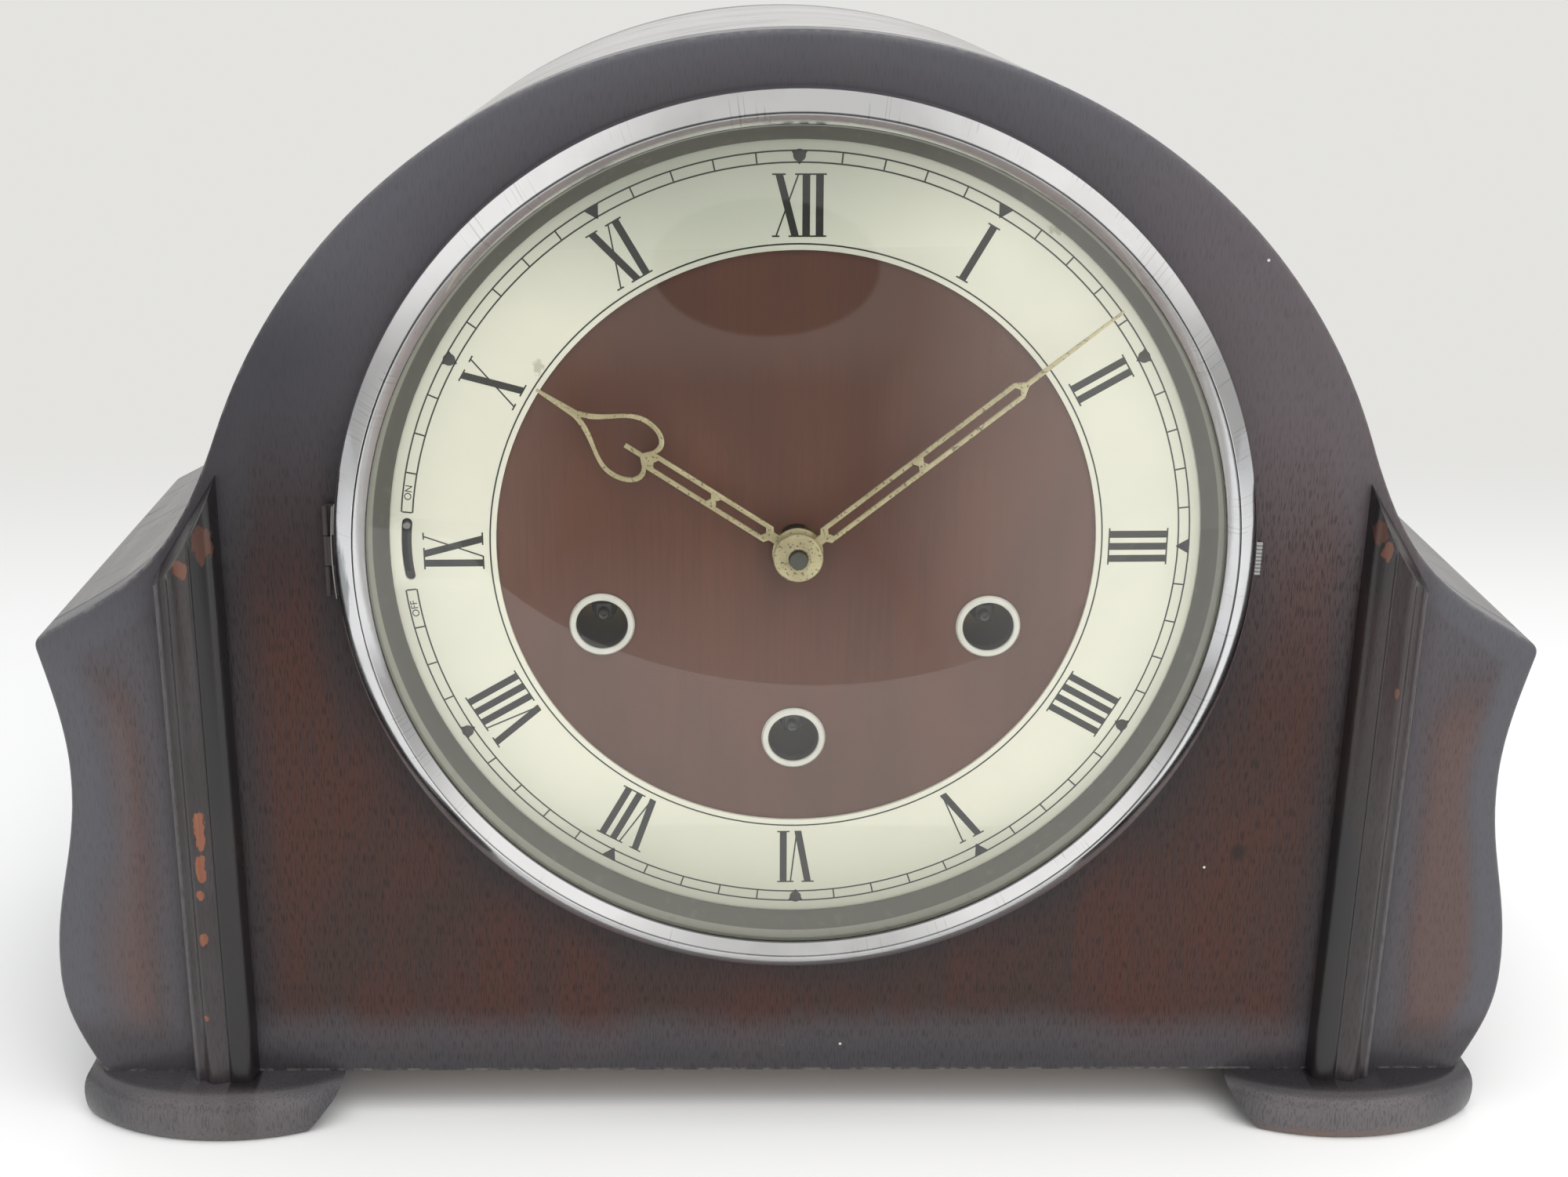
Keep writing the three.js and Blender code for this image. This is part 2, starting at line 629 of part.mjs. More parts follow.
function foot(side) {
  const heights = [0, 0.1, 0.28, 0.5, 0.72, 0.9, 1].map((share) => share * FOOT_HEIGHT);
  const rings = heights.map((height) => footRing(height, side));
  return loft(rings, seenFromAbove);
}

// A pilaster's reeds stand on the foot and are cut off along the shoulder
function pilaster(side) {
  const edge = drawnIn(PILASTER_TOP_MARGIN).filter((point) => point.x > 0 && point.y > -TIP_DROP - 10);
  const topAt = (x) => {
    const next = edge.findIndex((point) => point.x < x);
    const outer = edge[next - 1];
    const inner = edge[next];
    return THREE.MathUtils.mapLinear(x, outer.x, inner.x, outer.y, inner.y);
  };
  const reeds = [
    { width: REED_INNER_WIDTH, crown: REED_INNER_CROWN },
    { width: REED_MIDDLE_WIDTH, crown: REED_MIDDLE_CROWN },
    { width: REED_OUTER_WIDTH, crown: REED_OUTER_CROWN },
  ];
  const columns = [];
  let start = PILASTER_INNER_X;
  for (const { width, crown } of reeds) {
    for (let i = 0; i < CURVE_STEPS; i += 1) {
      const share = i / CURVE_STEPS;
      const rise = Math.sqrt(1 - (2 * share - 1) ** 2);
      columns.push({ x: start + share * width, out: crown * (REED_ROOT + (1 - REED_ROOT) * rise) });
    }
    start += width;
  }
  columns.push({ x: start, out: REED_ROOT * REED_OUTER_CROWN });
  const ring = (heightAt) => [
    ...columns.map(({ x, out }) => new THREE.Vector3(side * x, -out, heightAt(x))),
    ...[...columns].reverse().map(({ x }) => new THREE.Vector3(side * x, 0, heightAt(x))),
  ];
  return loft([ring(() => -UNDERSIDE_DROP), ring(topAt)], seenFromAbove);
}

// A butt hinge with an upright pin: the fixed half holds the pin and the end knuckles
function hingeKnuckles(size, x, y, midZ) {
  const third = size.half / 3;
  const bore = size.pin + RUNNING_GAP;
  const fixedLower = upright(x, y, size.knuckle, midZ - size.half, midZ - third - TURNED_GAP / 2);
  const fixedUpper = upright(x, y, size.knuckle, midZ + third + TURNED_GAP / 2, midZ + size.half);
  const pin = upright(x, y, size.pin, midZ - size.half, midZ + size.half);
  const moving = upright(x, y, size.knuckle, midZ - third, midZ + third);
  const hole = upright(x, y, bore, midZ - size.half, midZ + size.half);
  return { fixed: [pin, fixedLower, fixedUpper], moving, hole, third };
}

function doorHinge(midZ) {
  const size = DOOR_HINGE;
  const x = DOOR_HALF_WIDTH + size.knuckle + 2 * TURNED_GAP;
  const y = doorBackY;
  const knuckles = hingeKnuckles(size, x, y, midZ);
  const leafEdge = x + size.leaf;
  const fixedHeights = [
    [midZ - size.half, midZ - knuckles.third - TURNED_GAP / 2],
    [midZ + knuckles.third + TURNED_GAP / 2, midZ + size.half],
  ];
  const webs = fixedHeights.map(([z0, z1]) => block(x, leafEdge, CASE_DEPTH, y, z0, z1));
  const fixedLeaf = block(
    x,
    x + size.reach,
    CASE_DEPTH,
    CASE_DEPTH + size.leaf,
    midZ - size.half,
    midZ + size.half,
  );
  const movingLeaf = block(x - size.reach, x, y, y + size.leaf, midZ - knuckles.third, midZ + knuckles.third);
  return {
    fixed: join(fixedLeaf, ...webs, ...knuckles.fixed),
    moving: cut(join(knuckles.moving, movingLeaf), knuckles.hole),
  };
}

function doorKnob() {
  const centre = new THREE.Vector2(-DOOR_HALF_WIDTH + 2 * KNOB_RADIUS, -DOOR_HINGE_MID_DROP);
  const profile = [
    [0, doorBackY],
    [0.8 * KNOB_RADIUS, doorBackY],
    [0.8 * KNOB_RADIUS, doorBackY + 0.12 * KNOB_LENGTH],
    [0.45 * KNOB_RADIUS, doorBackY + 0.25 * KNOB_LENGTH],
    [0.45 * KNOB_RADIUS, doorBackY + 0.45 * KNOB_LENGTH],
    [KNOB_RADIUS, doorBackY + 0.7 * KNOB_LENGTH],
    [0.8 * KNOB_RADIUS, doorBackY + 0.92 * KNOB_LENGTH],
    [0, knobBackY],
  ];
  return turned(profile, centre, COARSE);
}

function caseParts() {
  const upperHinge = doorHinge(-DOOR_HINGE_MID_DROP + DOOR_HINGE_SPACING / 2);
  const lowerHinge = doorHinge(-DOOR_HINGE_MID_DROP - DOOR_HINGE_SPACING / 2);
  const door = plate(archShape(DOOR_HALF_WIDTH, -DOOR_BOTTOM_DROP), doorFrontY, doorBackY);
  return [
    piece("front_panel", frontPanel(), "mahogany"),
    piece("case_wrap", caseWrap(), "mahogany"),
    piece("base_board", baseBoard(), "raw_wood"),
    piece("back_frame", backFrame(), "dark_wood"),
    piece("foot_left", foot(-1), "dark_wood"),
    piece("foot_right", foot(1), "dark_wood"),
    piece("pilaster_left", pilaster(-1), "dark_wood"),
    piece("pilaster_right", pilaster(1), "dark_wood"),
    piece("back_door", door, "mahogany"),
    piece("door_knob", doorKnob(), "brass"),
    piece("door_hinge_upper_fixed", upperHinge.fixed, "brass"),
    piece("door_hinge_upper_moving", upperHinge.moving, "brass"),
    piece("door_hinge_lower_fixed", lowerHinge.fixed, "brass"),
    piece("door_hinge_lower_moving", lowerHinge.moving, "brass"),
  ];
}

// Bezel: the seat is fixed to the panel, the rest swings on the hinge at the left
function bezelParts() {
  const size = BEZEL_HINGE;
  const hingeX = -bezelRadius - size.knuckle - TURNED_GAP;
  const hingeY = -SEAT_THICKNESS / 2 - size.knuckle;
  const knuckles = hingeKnuckles(size, hingeX, hingeY, 0);
  const ring = turned(
    [
      [DIAL_OPENING_RADIUS + TURNED_GAP, -SEAT_THICKNESS],
      [bezelRadius - 2 * TURNED_GAP, -SEAT_THICKNESS],
      [bezelRadius - 2 * TURNED_GAP, 0],
      [DIAL_OPENING_RADIUS + TURNED_GAP, 0],
    ],
    centreArbor,
  );
  const tongue = (z0, z1) => block(hingeX, hingeX + size.reach, -SEAT_THICKNESS, 0, z0, z1);
  const seat = join(
    ring,
    tongue(-size.half, -knuckles.third - TURNED_GAP),
    tongue(knuckles.third + TURNED_GAP, size.half),
    ...knuckles.fixed,
  );
  const leafX = -bezelRadius - TURNED_GAP / 2;
  const leaf = block(hingeX, leafX, -BEZEL_RIM_HEIGHT, hingeY, -knuckles.third, knuckles.third);

  const rim = turned(
    [
      [bezelRadius, bezelBackY],
      [bezelRadius, -BEZEL_RIM_HEIGHT],
      [bezelGrooveRadius + 0.3, bezelFrontY + 0.2],
      [bezelGrooveRadius, bezelFrontY + 0.7],
      [bezelGrooveRadius - 0.3, bezelFrontY],
      [bezelLipRadius + 0.8, bezelFrontY],
      [bezelLipRadius, bezelFrontY + 0.6],
      [bezelLipRadius, bezelFrontY + BEZEL_LIP_THICKNESS],
      [bezelBoreRadius, bezelFrontY + BEZEL_LIP_THICKNESS],
      [bezelBoreRadius, bezelBackY],
    ],
    centreArbor,
  );
  const tab = block(
    bezelRadius - 1,
    bezelRadius + TAB_REACH,
    -BEZEL_RIM_HEIGHT,
    -BEZEL_RIM_HEIGHT + 2,
    -TAB_HEIGHT / 2,
    TAB_HEIGHT / 2,
  );

  const domeY = (radius) => glassEdgeY - GLASS_RISE * (1 - (radius / glassRadius) ** 2);
  const front = [0, 0.35, 0.7, 1].map((share) => [share * glassRadius, domeY(share * glassRadius)]);
  const back = [...front].reverse().map(([radius, y]) => [radius, y + GLASS_THICKNESS]);
  const sightTopY = glassEdgeY + GLASS_THICKNESS + TURNED_GAP;
  const sightFootY = chapterFaceY - TURNED_GAP;
  const sight = [
    [glassRadius, sightTopY],
    [glassRadius, sightTopY + 1],
    [sightRadius + 0.8, sightFootY],
    [sightRadius, sightFootY],
    [sightRadius, sightFootY - 0.4],
    [glassRadius - 0.8, sightTopY],
  ];
  return [
    piece("bezel_seat", seat, "brass"),
    piece("bezel_hinge", cut(join(knuckles.moving, leaf), knuckles.hole), "chrome"),
    piece("bezel", join(rim, tab), "chrome"),
    piece("bezel_glass", turned([...front, ...back], centreArbor), "glass"),
    piece("sight_ring", turned(sight, centreArbor), "chrome"),
  ];
}

// Dial
function leverSlot(frontY, backY) {
  const half = THREE.MathUtils.degToRad(LEVER_DEGREES) + LEVER_SLOT_HALF_WIDTH / leverReach;
  const middle = Math.PI;
  const shape = new THREE.Shape();
  const outer = leverReach + LEVER_SLOT_HALF_WIDTH;
  const inner = leverReach - LEVER_SLOT_HALF_WIDTH;
  shape.absarc(leverPivot.x, leverPivot.y, outer, middle - half, middle + half, false);
  shape.absarc(leverPivot.x, leverPivot.y, inner, middle + half, middle - half, true);
  return plate(shape, frontY, backY, CURVE_STEPS);
}

function dialPlate() {
  const bushHole = BUSH_BORE_RADIUS + BUSH_WALL + TURNED_GAP;
  const shape = new THREE.Shape().absarc(0, 0, dialRadius, 0, 2 * Math.PI, false);
  shape.holes.push(roundHole(centreArbor, DIAL_CENTRE_HOLE));
  const base = plate(shape, dialFaceY, dialBackY, FINE / 2);
  const holes = [timeBarrel, strikeBarrel, chimeBarrel].map((centre) =>
    disc(centre, bushHole, dialFaceY - 1, dialBackY + 1),
  );
  const feet = [
    new THREE.Vector2(-plateHalfWidth + 2 * PILLAR_INSET, plateTop - 2 * PILLAR_INSET),
    new THREE.Vector2(plateHalfWidth - 2 * PILLAR_INSET, plateTop - 2 * PILLAR_INSET),
    new THREE.Vector2(0, plateBottom + PILLAR_INSET),
  ].map((centre) => disc(centre, DIAL_FOOT_RADIUS, dialBackY - 0.5, frontPlateY, COARSE));
  return cut(join(base, ...feet), ...holes, leverSlot(dialFaceY - 1, dialBackY + 1));
}

function chapterRing() {
  const shape = new THREE.Shape().absarc(0, 0, chapterOuterRadius, 0, 2 * Math.PI, false);
  shape.holes.push(roundHole(centreArbor, CHAPTER_INNER_RADIUS));
  const ring = plate(shape, chapterFaceY, dialFaceY, FINE / 2);
  return cut(ring, leverSlot(chapterFaceY - 1, dialFaceY + 1));
}

function windingBush(centre) {
  const tube = BUSH_BORE_RADIUS + BUSH_WALL;
  const profile = [
    [BUSH_BORE_RADIUS, dialFaceY - BUSH_FLANGE_HEIGHT],
    [BUSH_FLANGE_RADIUS - 0.4, dialFaceY - BUSH_FLANGE_HEIGHT],
    [BUSH_FLANGE_RADIUS, dialFaceY - 0.3],
    [BUSH_FLANGE_RADIUS, dialFaceY],
    [tube, dialFaceY],
    [tube, dialFaceY + BUSH_DEPTH],
    [BUSH_BORE_RADIUS, dialFaceY + BUSH_DEPTH],
  ];
  return turned(profile, centre, MEDIUM);
}

function chimeLever() {
  const angle = Math.PI - THREE.MathUtils.degToRad(LEVER_DEGREES);
  const end = polar(leverReach, angle).add(leverPivot);
  const backY = LEVER_SETBACK + LEVER_THICKNESS;
  const armWidth = 4;
  const arm = block(-leverReach - armWidth / 2, 0, LEVER_SETBACK, backY, -armWidth / 2, armWidth / 2);
  arm.rotateY(Math.PI - angle);
  arm.translate(leverPivot.x, 0, leverPivot.y);
  const boss = disc(leverPivot, 2.4 * STUD_RADIUS + 0.6, LEVER_SETBACK, backY, COARSE);
  const stud = disc(end, LEVER_STUD_RADIUS, chapterFaceY - 1, backY, COARSE);
  const hole = disc(leverPivot, STUD_RADIUS + RUNNING_GAP, LEVER_SETBACK - 1, backY + 1, COARSE);
  return cut(join(arm, boss, stud), hole);
}

function dialParts() {
  return [
    piece("dial_plate", dialPlate(), "dial_brown"),
    piece("chapter_ring", chapterRing(), "silvered"),
    piece("winding_bush_left", windingBush(strikeBarrel), "chrome"),
    piece("winding_bush_right", windingBush(chimeBarrel), "chrome"),
    piece("winding_bush_centre", windingBush(timeBarrel), "chrome"),
    piece("chime_lever", chimeLever(), "steel"),
  ];
}

// Hands: twin bars with a cross link; the hour hand carries an open heart
function barSlot(start, end) {
  const half = BAR_HALF_WIDTH - BAR_STROKE;
  const round = 0.6 * half;
  return new THREE.Path(
    [
      [-half, start + round],
      [0, start],
      [half, start + round],
      [half, end - round],
      [0, end],
      [-half, end - round],
    ].map(([x, y]) => new THREE.Vector2(x, y)),
  );
}

function handShape(hubRadius, hubBore, rightEdge) {
  const neck = 0.95;
  const neckAngle = Math.asin(neck / hubRadius);
  const shape = new THREE.Shape();
  shape.absarc(0, 0, hubRadius, Math.PI / 2 + neckAngle, Math.PI / 2 - neckAngle + 2 * Math.PI, false);
  shape.lineTo(neck, BAR_START - 0.7);
  shape.lineTo(BAR_HALF_WIDTH, BAR_START);
  for (const [x, y] of rightEdge) {
    shape.lineTo(x, y);
  }
  for (const [x, y] of [...rightEdge].reverse()) {
    shape.lineTo(-x, y);
  }
  shape.lineTo(-BAR_HALF_WIDTH, BAR_START);
  shape.lineTo(-neck, BAR_START - 0.7);
  shape.holes.push(roundHole(centreArbor, hubBore));
  return shape;
}

function minuteHand() {
  const rightEdge = [
    [BAR_HALF_WIDTH, MINUTE_BAR_END - 0.8],
    [0.5, MINUTE_BAR_END + 1.2],
    [0.22, minuteLength],
  ];
  const shape = handShape(MINUTE_HUB_RADIUS, CENTRE_ARBOR_RADIUS + RUNNING_GAP, rightEdge);
  shape.holes.push(barSlot(BAR_START + 0.6, MINUTE_LINK - 0.6));
  shape.holes.push(barSlot(MINUTE_LINK + 0.6, MINUTE_BAR_END - 0.5));
  return plate(shape, minuteHandBackY - HAND_THICKNESS, minuteHandBackY, CURVE_STEPS);
}

// Half of the heart's edge, from the bars round the lobe to the fork
function heartEdge(inset) {
  const lobe = HEART_HALF_WIDTH - inset;
  const lobeY = HOUR_BAR_END + 5;
  const round = new THREE.CubicBezierCurve(
    new THREE.Vector2(BAR_HALF_WIDTH, HOUR_BAR_END + inset),
    new THREE.Vector2(BAR_HALF_WIDTH + 2, HOUR_BAR_END - 1.6 + 1.3 * inset),
    new THREE.Vector2(lobe, HOUR_BAR_END + 0.4 + inset),
    new THREE.Vector2(lobe, lobeY),
  );
  const flank = new THREE.CubicBezierCurve(
    new THREE.Vector2(lobe, lobeY),
    new THREE.Vector2(lobe, lobeY + 4.4),
    new THREE.Vector2(2.2 - inset, lobeY + 6.8),
    new THREE.Vector2(0.75 - 0.7 * inset, HOUR_FORK - 1.4 * inset),
  );
  const points = [...round.getPoints(CURVE_STEPS), ...flank.getPoints(CURVE_STEPS).slice(1)];
  return points.map((point) => [point.x, point.y]);
}

function hourHand() {
  const stubEnd = HOUR_BAR_END + 6;
  const rightEdge = [[BAR_HALF_WIDTH, HOUR_BAR_END - 0.6], ...heartEdge(0), [0.28, HOUR_LENGTH]];
  const shape = handShape(HOUR_HUB_RADIUS, hourPipeBore, rightEdge);
  shape.holes.push(barSlot(BAR_START + 0.6, HOUR_LINK - 0.6));
  shape.holes.push(barSlot(HOUR_LINK + 0.6, HOUR_BAR_END - 0.6));
  const inner = heartEdge(BAR_STROKE);
  const stub = BAR_STROKE / 2;
  const right = [[stub, stubEnd], [stub, HOUR_BAR_END + 2.2], ...inner];
  const left = [...right].reverse().map(([x, y]) => [-x, y]);
  shape.holes.push(new THREE.Path([...right, ...left].map(([x, y]) => new THREE.Vector2(x, y))));
  return plate(shape, hourHandBackY - HAND_THICKNESS, hourHandBackY, CURVE_STEPS);
}

function handCollet() {
  const bore = CENTRE_ARBOR_RADIUS + RUNNING_GAP;
  const profile = [
    [bore, colletBackY],
    [COLLET_RADIUS, colletBackY],
    [COLLET_RADIUS, colletBackY - 0.25 * COLLET_HEIGHT],
    [0.75 * COLLET_RADIUS, colletBackY - 0.75 * COLLET_HEIGHT],
    [bore + 0.3, colletBackY - COLLET_HEIGHT],
    [bore, colletBackY - COLLET_HEIGHT],
  ];
  return turned(profile, centreArbor, MEDIUM);
}

function handParts() {
  const hour = piece("hour_hand", hourHand(), "gilt");
  hour.rotation.y = THREE.MathUtils.degToRad(HOUR_DEGREES);
  const minute = piece("minute_hand", minuteHand(), "gilt");
  minute.rotation.y = THREE.MathUtils.degToRad(MINUTE_DEGREES);
  return [hour, minute, piece("hand_collet", handCollet(), "gilt")];
}

// Wheels
function wheelShape(teeth, module, phase) {
  const pitch = (2 * Math.PI) / teeth;
  const tip = tipRadius(teeth, module);
  const root = rootRadius(teeth, module);
  const points = [];
  for (let i = 0; i < teeth; i += 1) {
    const middle = phase + i * pitch;
    points.push(polar(tip, middle), polar(root, middle + pitch / 2));
  }
  return new THREE.Shape(points);
}

function wheel(centre, teeth, module, phase, frontY, backY) {
  const geometry = plate(wheelShape(teeth, module, phase), frontY, backY);
  geometry.translate(centre.x, 0, centre.y);
  return geometry;
}

// A driver shows a tooth to its partner, and the partner a gap
const toothTowards = (from, to) => direction(from, to);
const gapTowards = (from, to, teeth) => direction(from, to) + Math.PI / teeth;

function motionParts() {
  const cannonBackY = frontPlateY - MOTION_LIFT;
  const cannonFrontY = cannonBackY - CANNON_LENGTH;
  const minuteWheelY = cannonFrontY + MOTION_LIFT;
  const hourWheelY = minuteWheelY - MOTION_SPACING;
  const arborBore = CENTRE_ARBOR_RADIUS + RUNNING_GAP;
  const cannon = cut(
    join(
      wheel(
        centreArbor,
        CANNON_TEETH,
        MOTION_MODULE,
        toothTowards(centreArbor, minuteArbor),
        cannonFrontY,
        cannonBackY,
      ),
      disc(centreArbor, cannonPipeRadius, minuteHandBackY, cannonFrontY + JOIN_LAP, COARSE),
    ),
    disc(centreArbor, arborBore, minuteHandBackY - 1, cannonBackY + 1, COARSE),
  );
  const minuteWheel = cut(
    join(
      wheel(
        minuteArbor,
        MINUTE_WHEEL_TEETH,
        MOTION_MODULE,
        gapTowards(minuteArbor, centreArbor, MINUTE_WHEEL_TEETH),
        minuteWheelY,
        minuteWheelY + MOTION_WHEEL_THICKNESS,
      ),
      wheel(
        minuteArbor,
        MINUTE_PINION_TEETH,
        hourModule,
        toothTowards(minuteArbor, centreArbor),
        hourWheelY - MOTION_LIFT,
        minuteWheelY + JOIN_LAP,
      ),
    ),
    disc(minuteArbor, STUD_RADIUS + RUNNING_GAP, dialBackY, frontPlateY, COARSE),
  );
  const hourWheel = cut(
    join(
      wheel(
        centreArbor,
        HOUR_WHEEL_TEETH,
        hourModule,
        gapTowards(centreArbor, minuteArbor, HOUR_WHEEL_TEETH),
        hourWheelY,
        hourWheelY + MOTION_WHEEL_THICKNESS,
      ),
      disc(centreArbor, hourPipeRadius, hourHandBackY, hourWheelY + JOIN_LAP, COARSE),
    ),
    disc(centreArbor, hourPipeBore, hourHandBackY - 1, hourWheelY + MOTION_SPACING, COARSE),
  );
  return [
    piece("cannon_pinion", cannon, "steel"),
    piece("minute_wheel", minuteWheel, "brass"),
    piece("hour_wheel", hourWheel, "brass"),
  ];
}

function trainParts() {
  const pinionY = frontPlateBackY + CENTRE_PINION_SETBACK;
  const intermediateY = frontPlateBackY + INTERMEDIATE_SETBACK;
  const greatY = frontPlateBackY + GREAT_WHEEL_SETBACK;
  const arborTipY = colletBackY - COLLET_HEIGHT - ARBOR_TIP;
  const centre = join(
    disc(centreArbor, CENTRE_ARBOR_RADIUS, arborTipY, backPlateBackY, COARSE),
    wheel(
      centreArbor,
      CENTRE_PINION_TEETH,
      TRAIN_MODULE,
      toothTowards(centreArbor, intermediateArbor),
      pinionY,
      pinionY + CENTRE_PINION_LENGTH,
    ),
    wheel(centreArbor, CENTRE_WHEEL_TEETH, TRAIN_MODULE, 0, centreWheelY, centreWheelY + WHEEL_THICKNESS),
  );
  const intermediate = join(
    disc(intermediateArbor, PIVOT_RADIUS, frontPlateY, backPlateBackY, COARSE),
    wheel(
      intermediateArbor,
      INTERMEDIATE_TEETH,
      TRAIN_MODULE,
      gapTowards(intermediateArbor, centreArbor, INTERMEDIATE_TEETH),
      intermediateY,
      intermediateY + WHEEL_THICKNESS,
    ),
    wheel(
      intermediateArbor,
      INTERMEDIATE_PINION_TEETH,
      greatModule,
      toothTowards(intermediateArbor, timeBarrel),
      intermediateY + WHEEL_THICKNESS - JOIN_LAP,
      greatY + GREAT_WHEEL_THICKNESS + INTERMEDIATE_PINION_OVERRUN,
    ),
  );
  const barrel = (axis, greatFrontY, drumFrontY, phase) =>
    cut(
      join(
        wheel(axis, GREAT_WHEEL_TEETH, greatModule, phase, greatFrontY, greatFrontY + GREAT_WHEEL_THICKNESS),
        disc(axis, drumRadius, drumFrontY, drumFrontY + barrelLength, MEDIUM),
      ),
      disc(axis, WINDING_ARBOR_RADIUS + RUNNING_GAP, frontPlateY, backPlateBackY, COARSE),
    );
  const timePhase = gapTowards(timeBarrel, intermediateArbor, GREAT_WHEEL_TEETH);
  const timeDrumY = greatY + GREAT_WHEEL_THICKNESS - JOIN_LAP;
  const sideDrumY = frontPlateBackY + SIDE_DRUM_SETBACK;
  const sideGreatY = sideDrumY + barrelLength - JOIN_LAP;
  const windingArbor = (axis) => {
    const half = WINDING_SQUARE / 2;
    const shoulderY = frontPlateY - WINDING_SHOULDER;
    const square = block(
      axis.x - half,
      axis.x + half,
      WINDING_SQUARE_SETBACK,
      shoulderY + JOIN_LAP,
      axis.y - half,
      axis.y + half,
    );
    return join(square, disc(axis, WINDING_ARBOR_RADIUS, shoulderY, backPlateBackY, COARSE));
  };
  return [
    piece("centre_arbor", centre, "brass"),
    piece("intermediate_wheel", intermediate, "brass"),
    piece("time_barrel", barrel(timeBarrel, greatY, timeDrumY, timePhase), "brass"),
    piece("strike_barrel", barrel(strikeBarrel, sideGreatY, sideDrumY, 0), "brass"),
    piece("chime_barrel", barrel(chimeBarrel, sideGreatY, sideDrumY, 0), "brass"),
    piece("winding_arbor_time", windingArbor(timeBarrel), "steel"),
    piece("winding_arbor_strike", windingArbor(strikeBarrel), "steel"),
    piece("winding_arbor_chime", windingArbor(chimeBarrel), "steel"),
  ];
}

// Movement frame
function plateShape(holes) {
  const shape = polygon([
    [-plateHalfWidth, plateBottom],
    [plateHalfWidth, plateBottom],
    [plateHalfWidth, plateTop],
    [-plateHalfWidth, plateTop],
  ]);
  for (const { centre, radius } of holes) {
    shape.holes.push(roundHole(centre, radius + RUNNING_GAP));
  }
  return shape;
}

function frameParts() {
  const arborHoles = [
    { centre: centreArbor, radius: CENTRE_ARBOR_RADIUS },
    { centre: intermediateArbor, radius: PIVOT_RADIUS },
    { centre: timeBarrel, radius: WINDING_ARBOR_RADIUS },
    { centre: strikeBarrel, radius: WINDING_ARBOR_RADIUS },
    { centre: chimeBarrel, radius: WINDING_ARBOR_RADIUS },
    { centre: escapeArbor, radius: PIVOT_RADIUS },
  ];
  const anchorHole = { centre: anchorArbor, radius: PIVOT_RADIUS };
  const minuteStud = disc(minuteArbor, STUD_RADIUS, dialBackY + 1, frontPlateY + 1, COARSE);
  const leverStud = disc(leverPivot, STUD_RADIUS, LEVER_SETBACK - 1, frontPlateY + 1, COARSE);
  const front = join(
    plate(plateShape(arborHoles), frontPlateY, frontPlateBackY, COARSE / 2),
    minuteStud,
    leverStud,
  );
  const hammerStud = disc(hammerPivot, HAMMER_ARBOR_RADIUS, backPlateBackY - 1, lastRodY + HAMMER_STUD_OVERHANG, COARSE);
  const back = join(
    plate(plateShape([...arborHoles, anchorHole]), backPlateY, backPlateBackY, COARSE / 2),
    hammerStud,
  );
  const pillarX = plateHalfWidth - PILLAR_INSET;
  const pillarPlaces = [
    [-pillarX, plateTop - PILLAR_INSET],
    [pillarX, plateTop - PILLAR_INSET],
    [-pillarX, plateBottom + PILLAR_INSET],
    [pillarX, plateBottom + PILLAR_INSET],
  ];
  const pillars = pillarPlaces.map(([x, z], i) => {
    const post = disc(new THREE.Vector2(x, z), PILLAR_RADIUS, frontPlateBackY, backPlateY, COARSE);
    return piece(`pillar_${i + 1}`, post, "brass");
  });
  return [
    piece("front_plate", front, "brass"),
    piece("back_plate", back, "brass"),
    ...pillars,
    piece("movement_bracket_left", movementBracket(-1), "steel"),
    piece("movement_bracket_right", movementBracket(1), "steel"),
  ];
}

// A cranked strap from the front plate to the back of the panel beside the dial opening
function movementBracket(side) {
  const innerX = plateHalfWidth - BRACKET_LAP;
  const landX = DIAL_OPENING_RADIUS + BRACKET_LAND_GAP;
  const outerX = innerHalfWidth(BRACKET_LIFT + BRACKET_HEIGHT / 2, frontPlateY) - BRACKET_WALL_GAP;
  const middleY = (FRONT_THICKNESS + frontPlateY) / 2;
  const neck = frontPlateY - middleY;
  const corners = [
    [innerX, middleY],
    [landX, middleY],
    [landX, FRONT_THICKNESS],
    [outerX, FRONT_THICKNESS],
    [outerX, middleY],
    [landX + neck, middleY],
    [landX + neck, frontPlateY],
    [innerX, frontPlateY],
  ].map(([x, y]) => [side * x, y]);
  const strap = new THREE.ExtrudeGeometry(polygon(corners), { depth: BRACKET_HEIGHT, bevelEnabled: false });
  strap.translate(0, 0, BRACKET_LIFT - BRACKET_HEIGHT / 2);
  return strap;
}

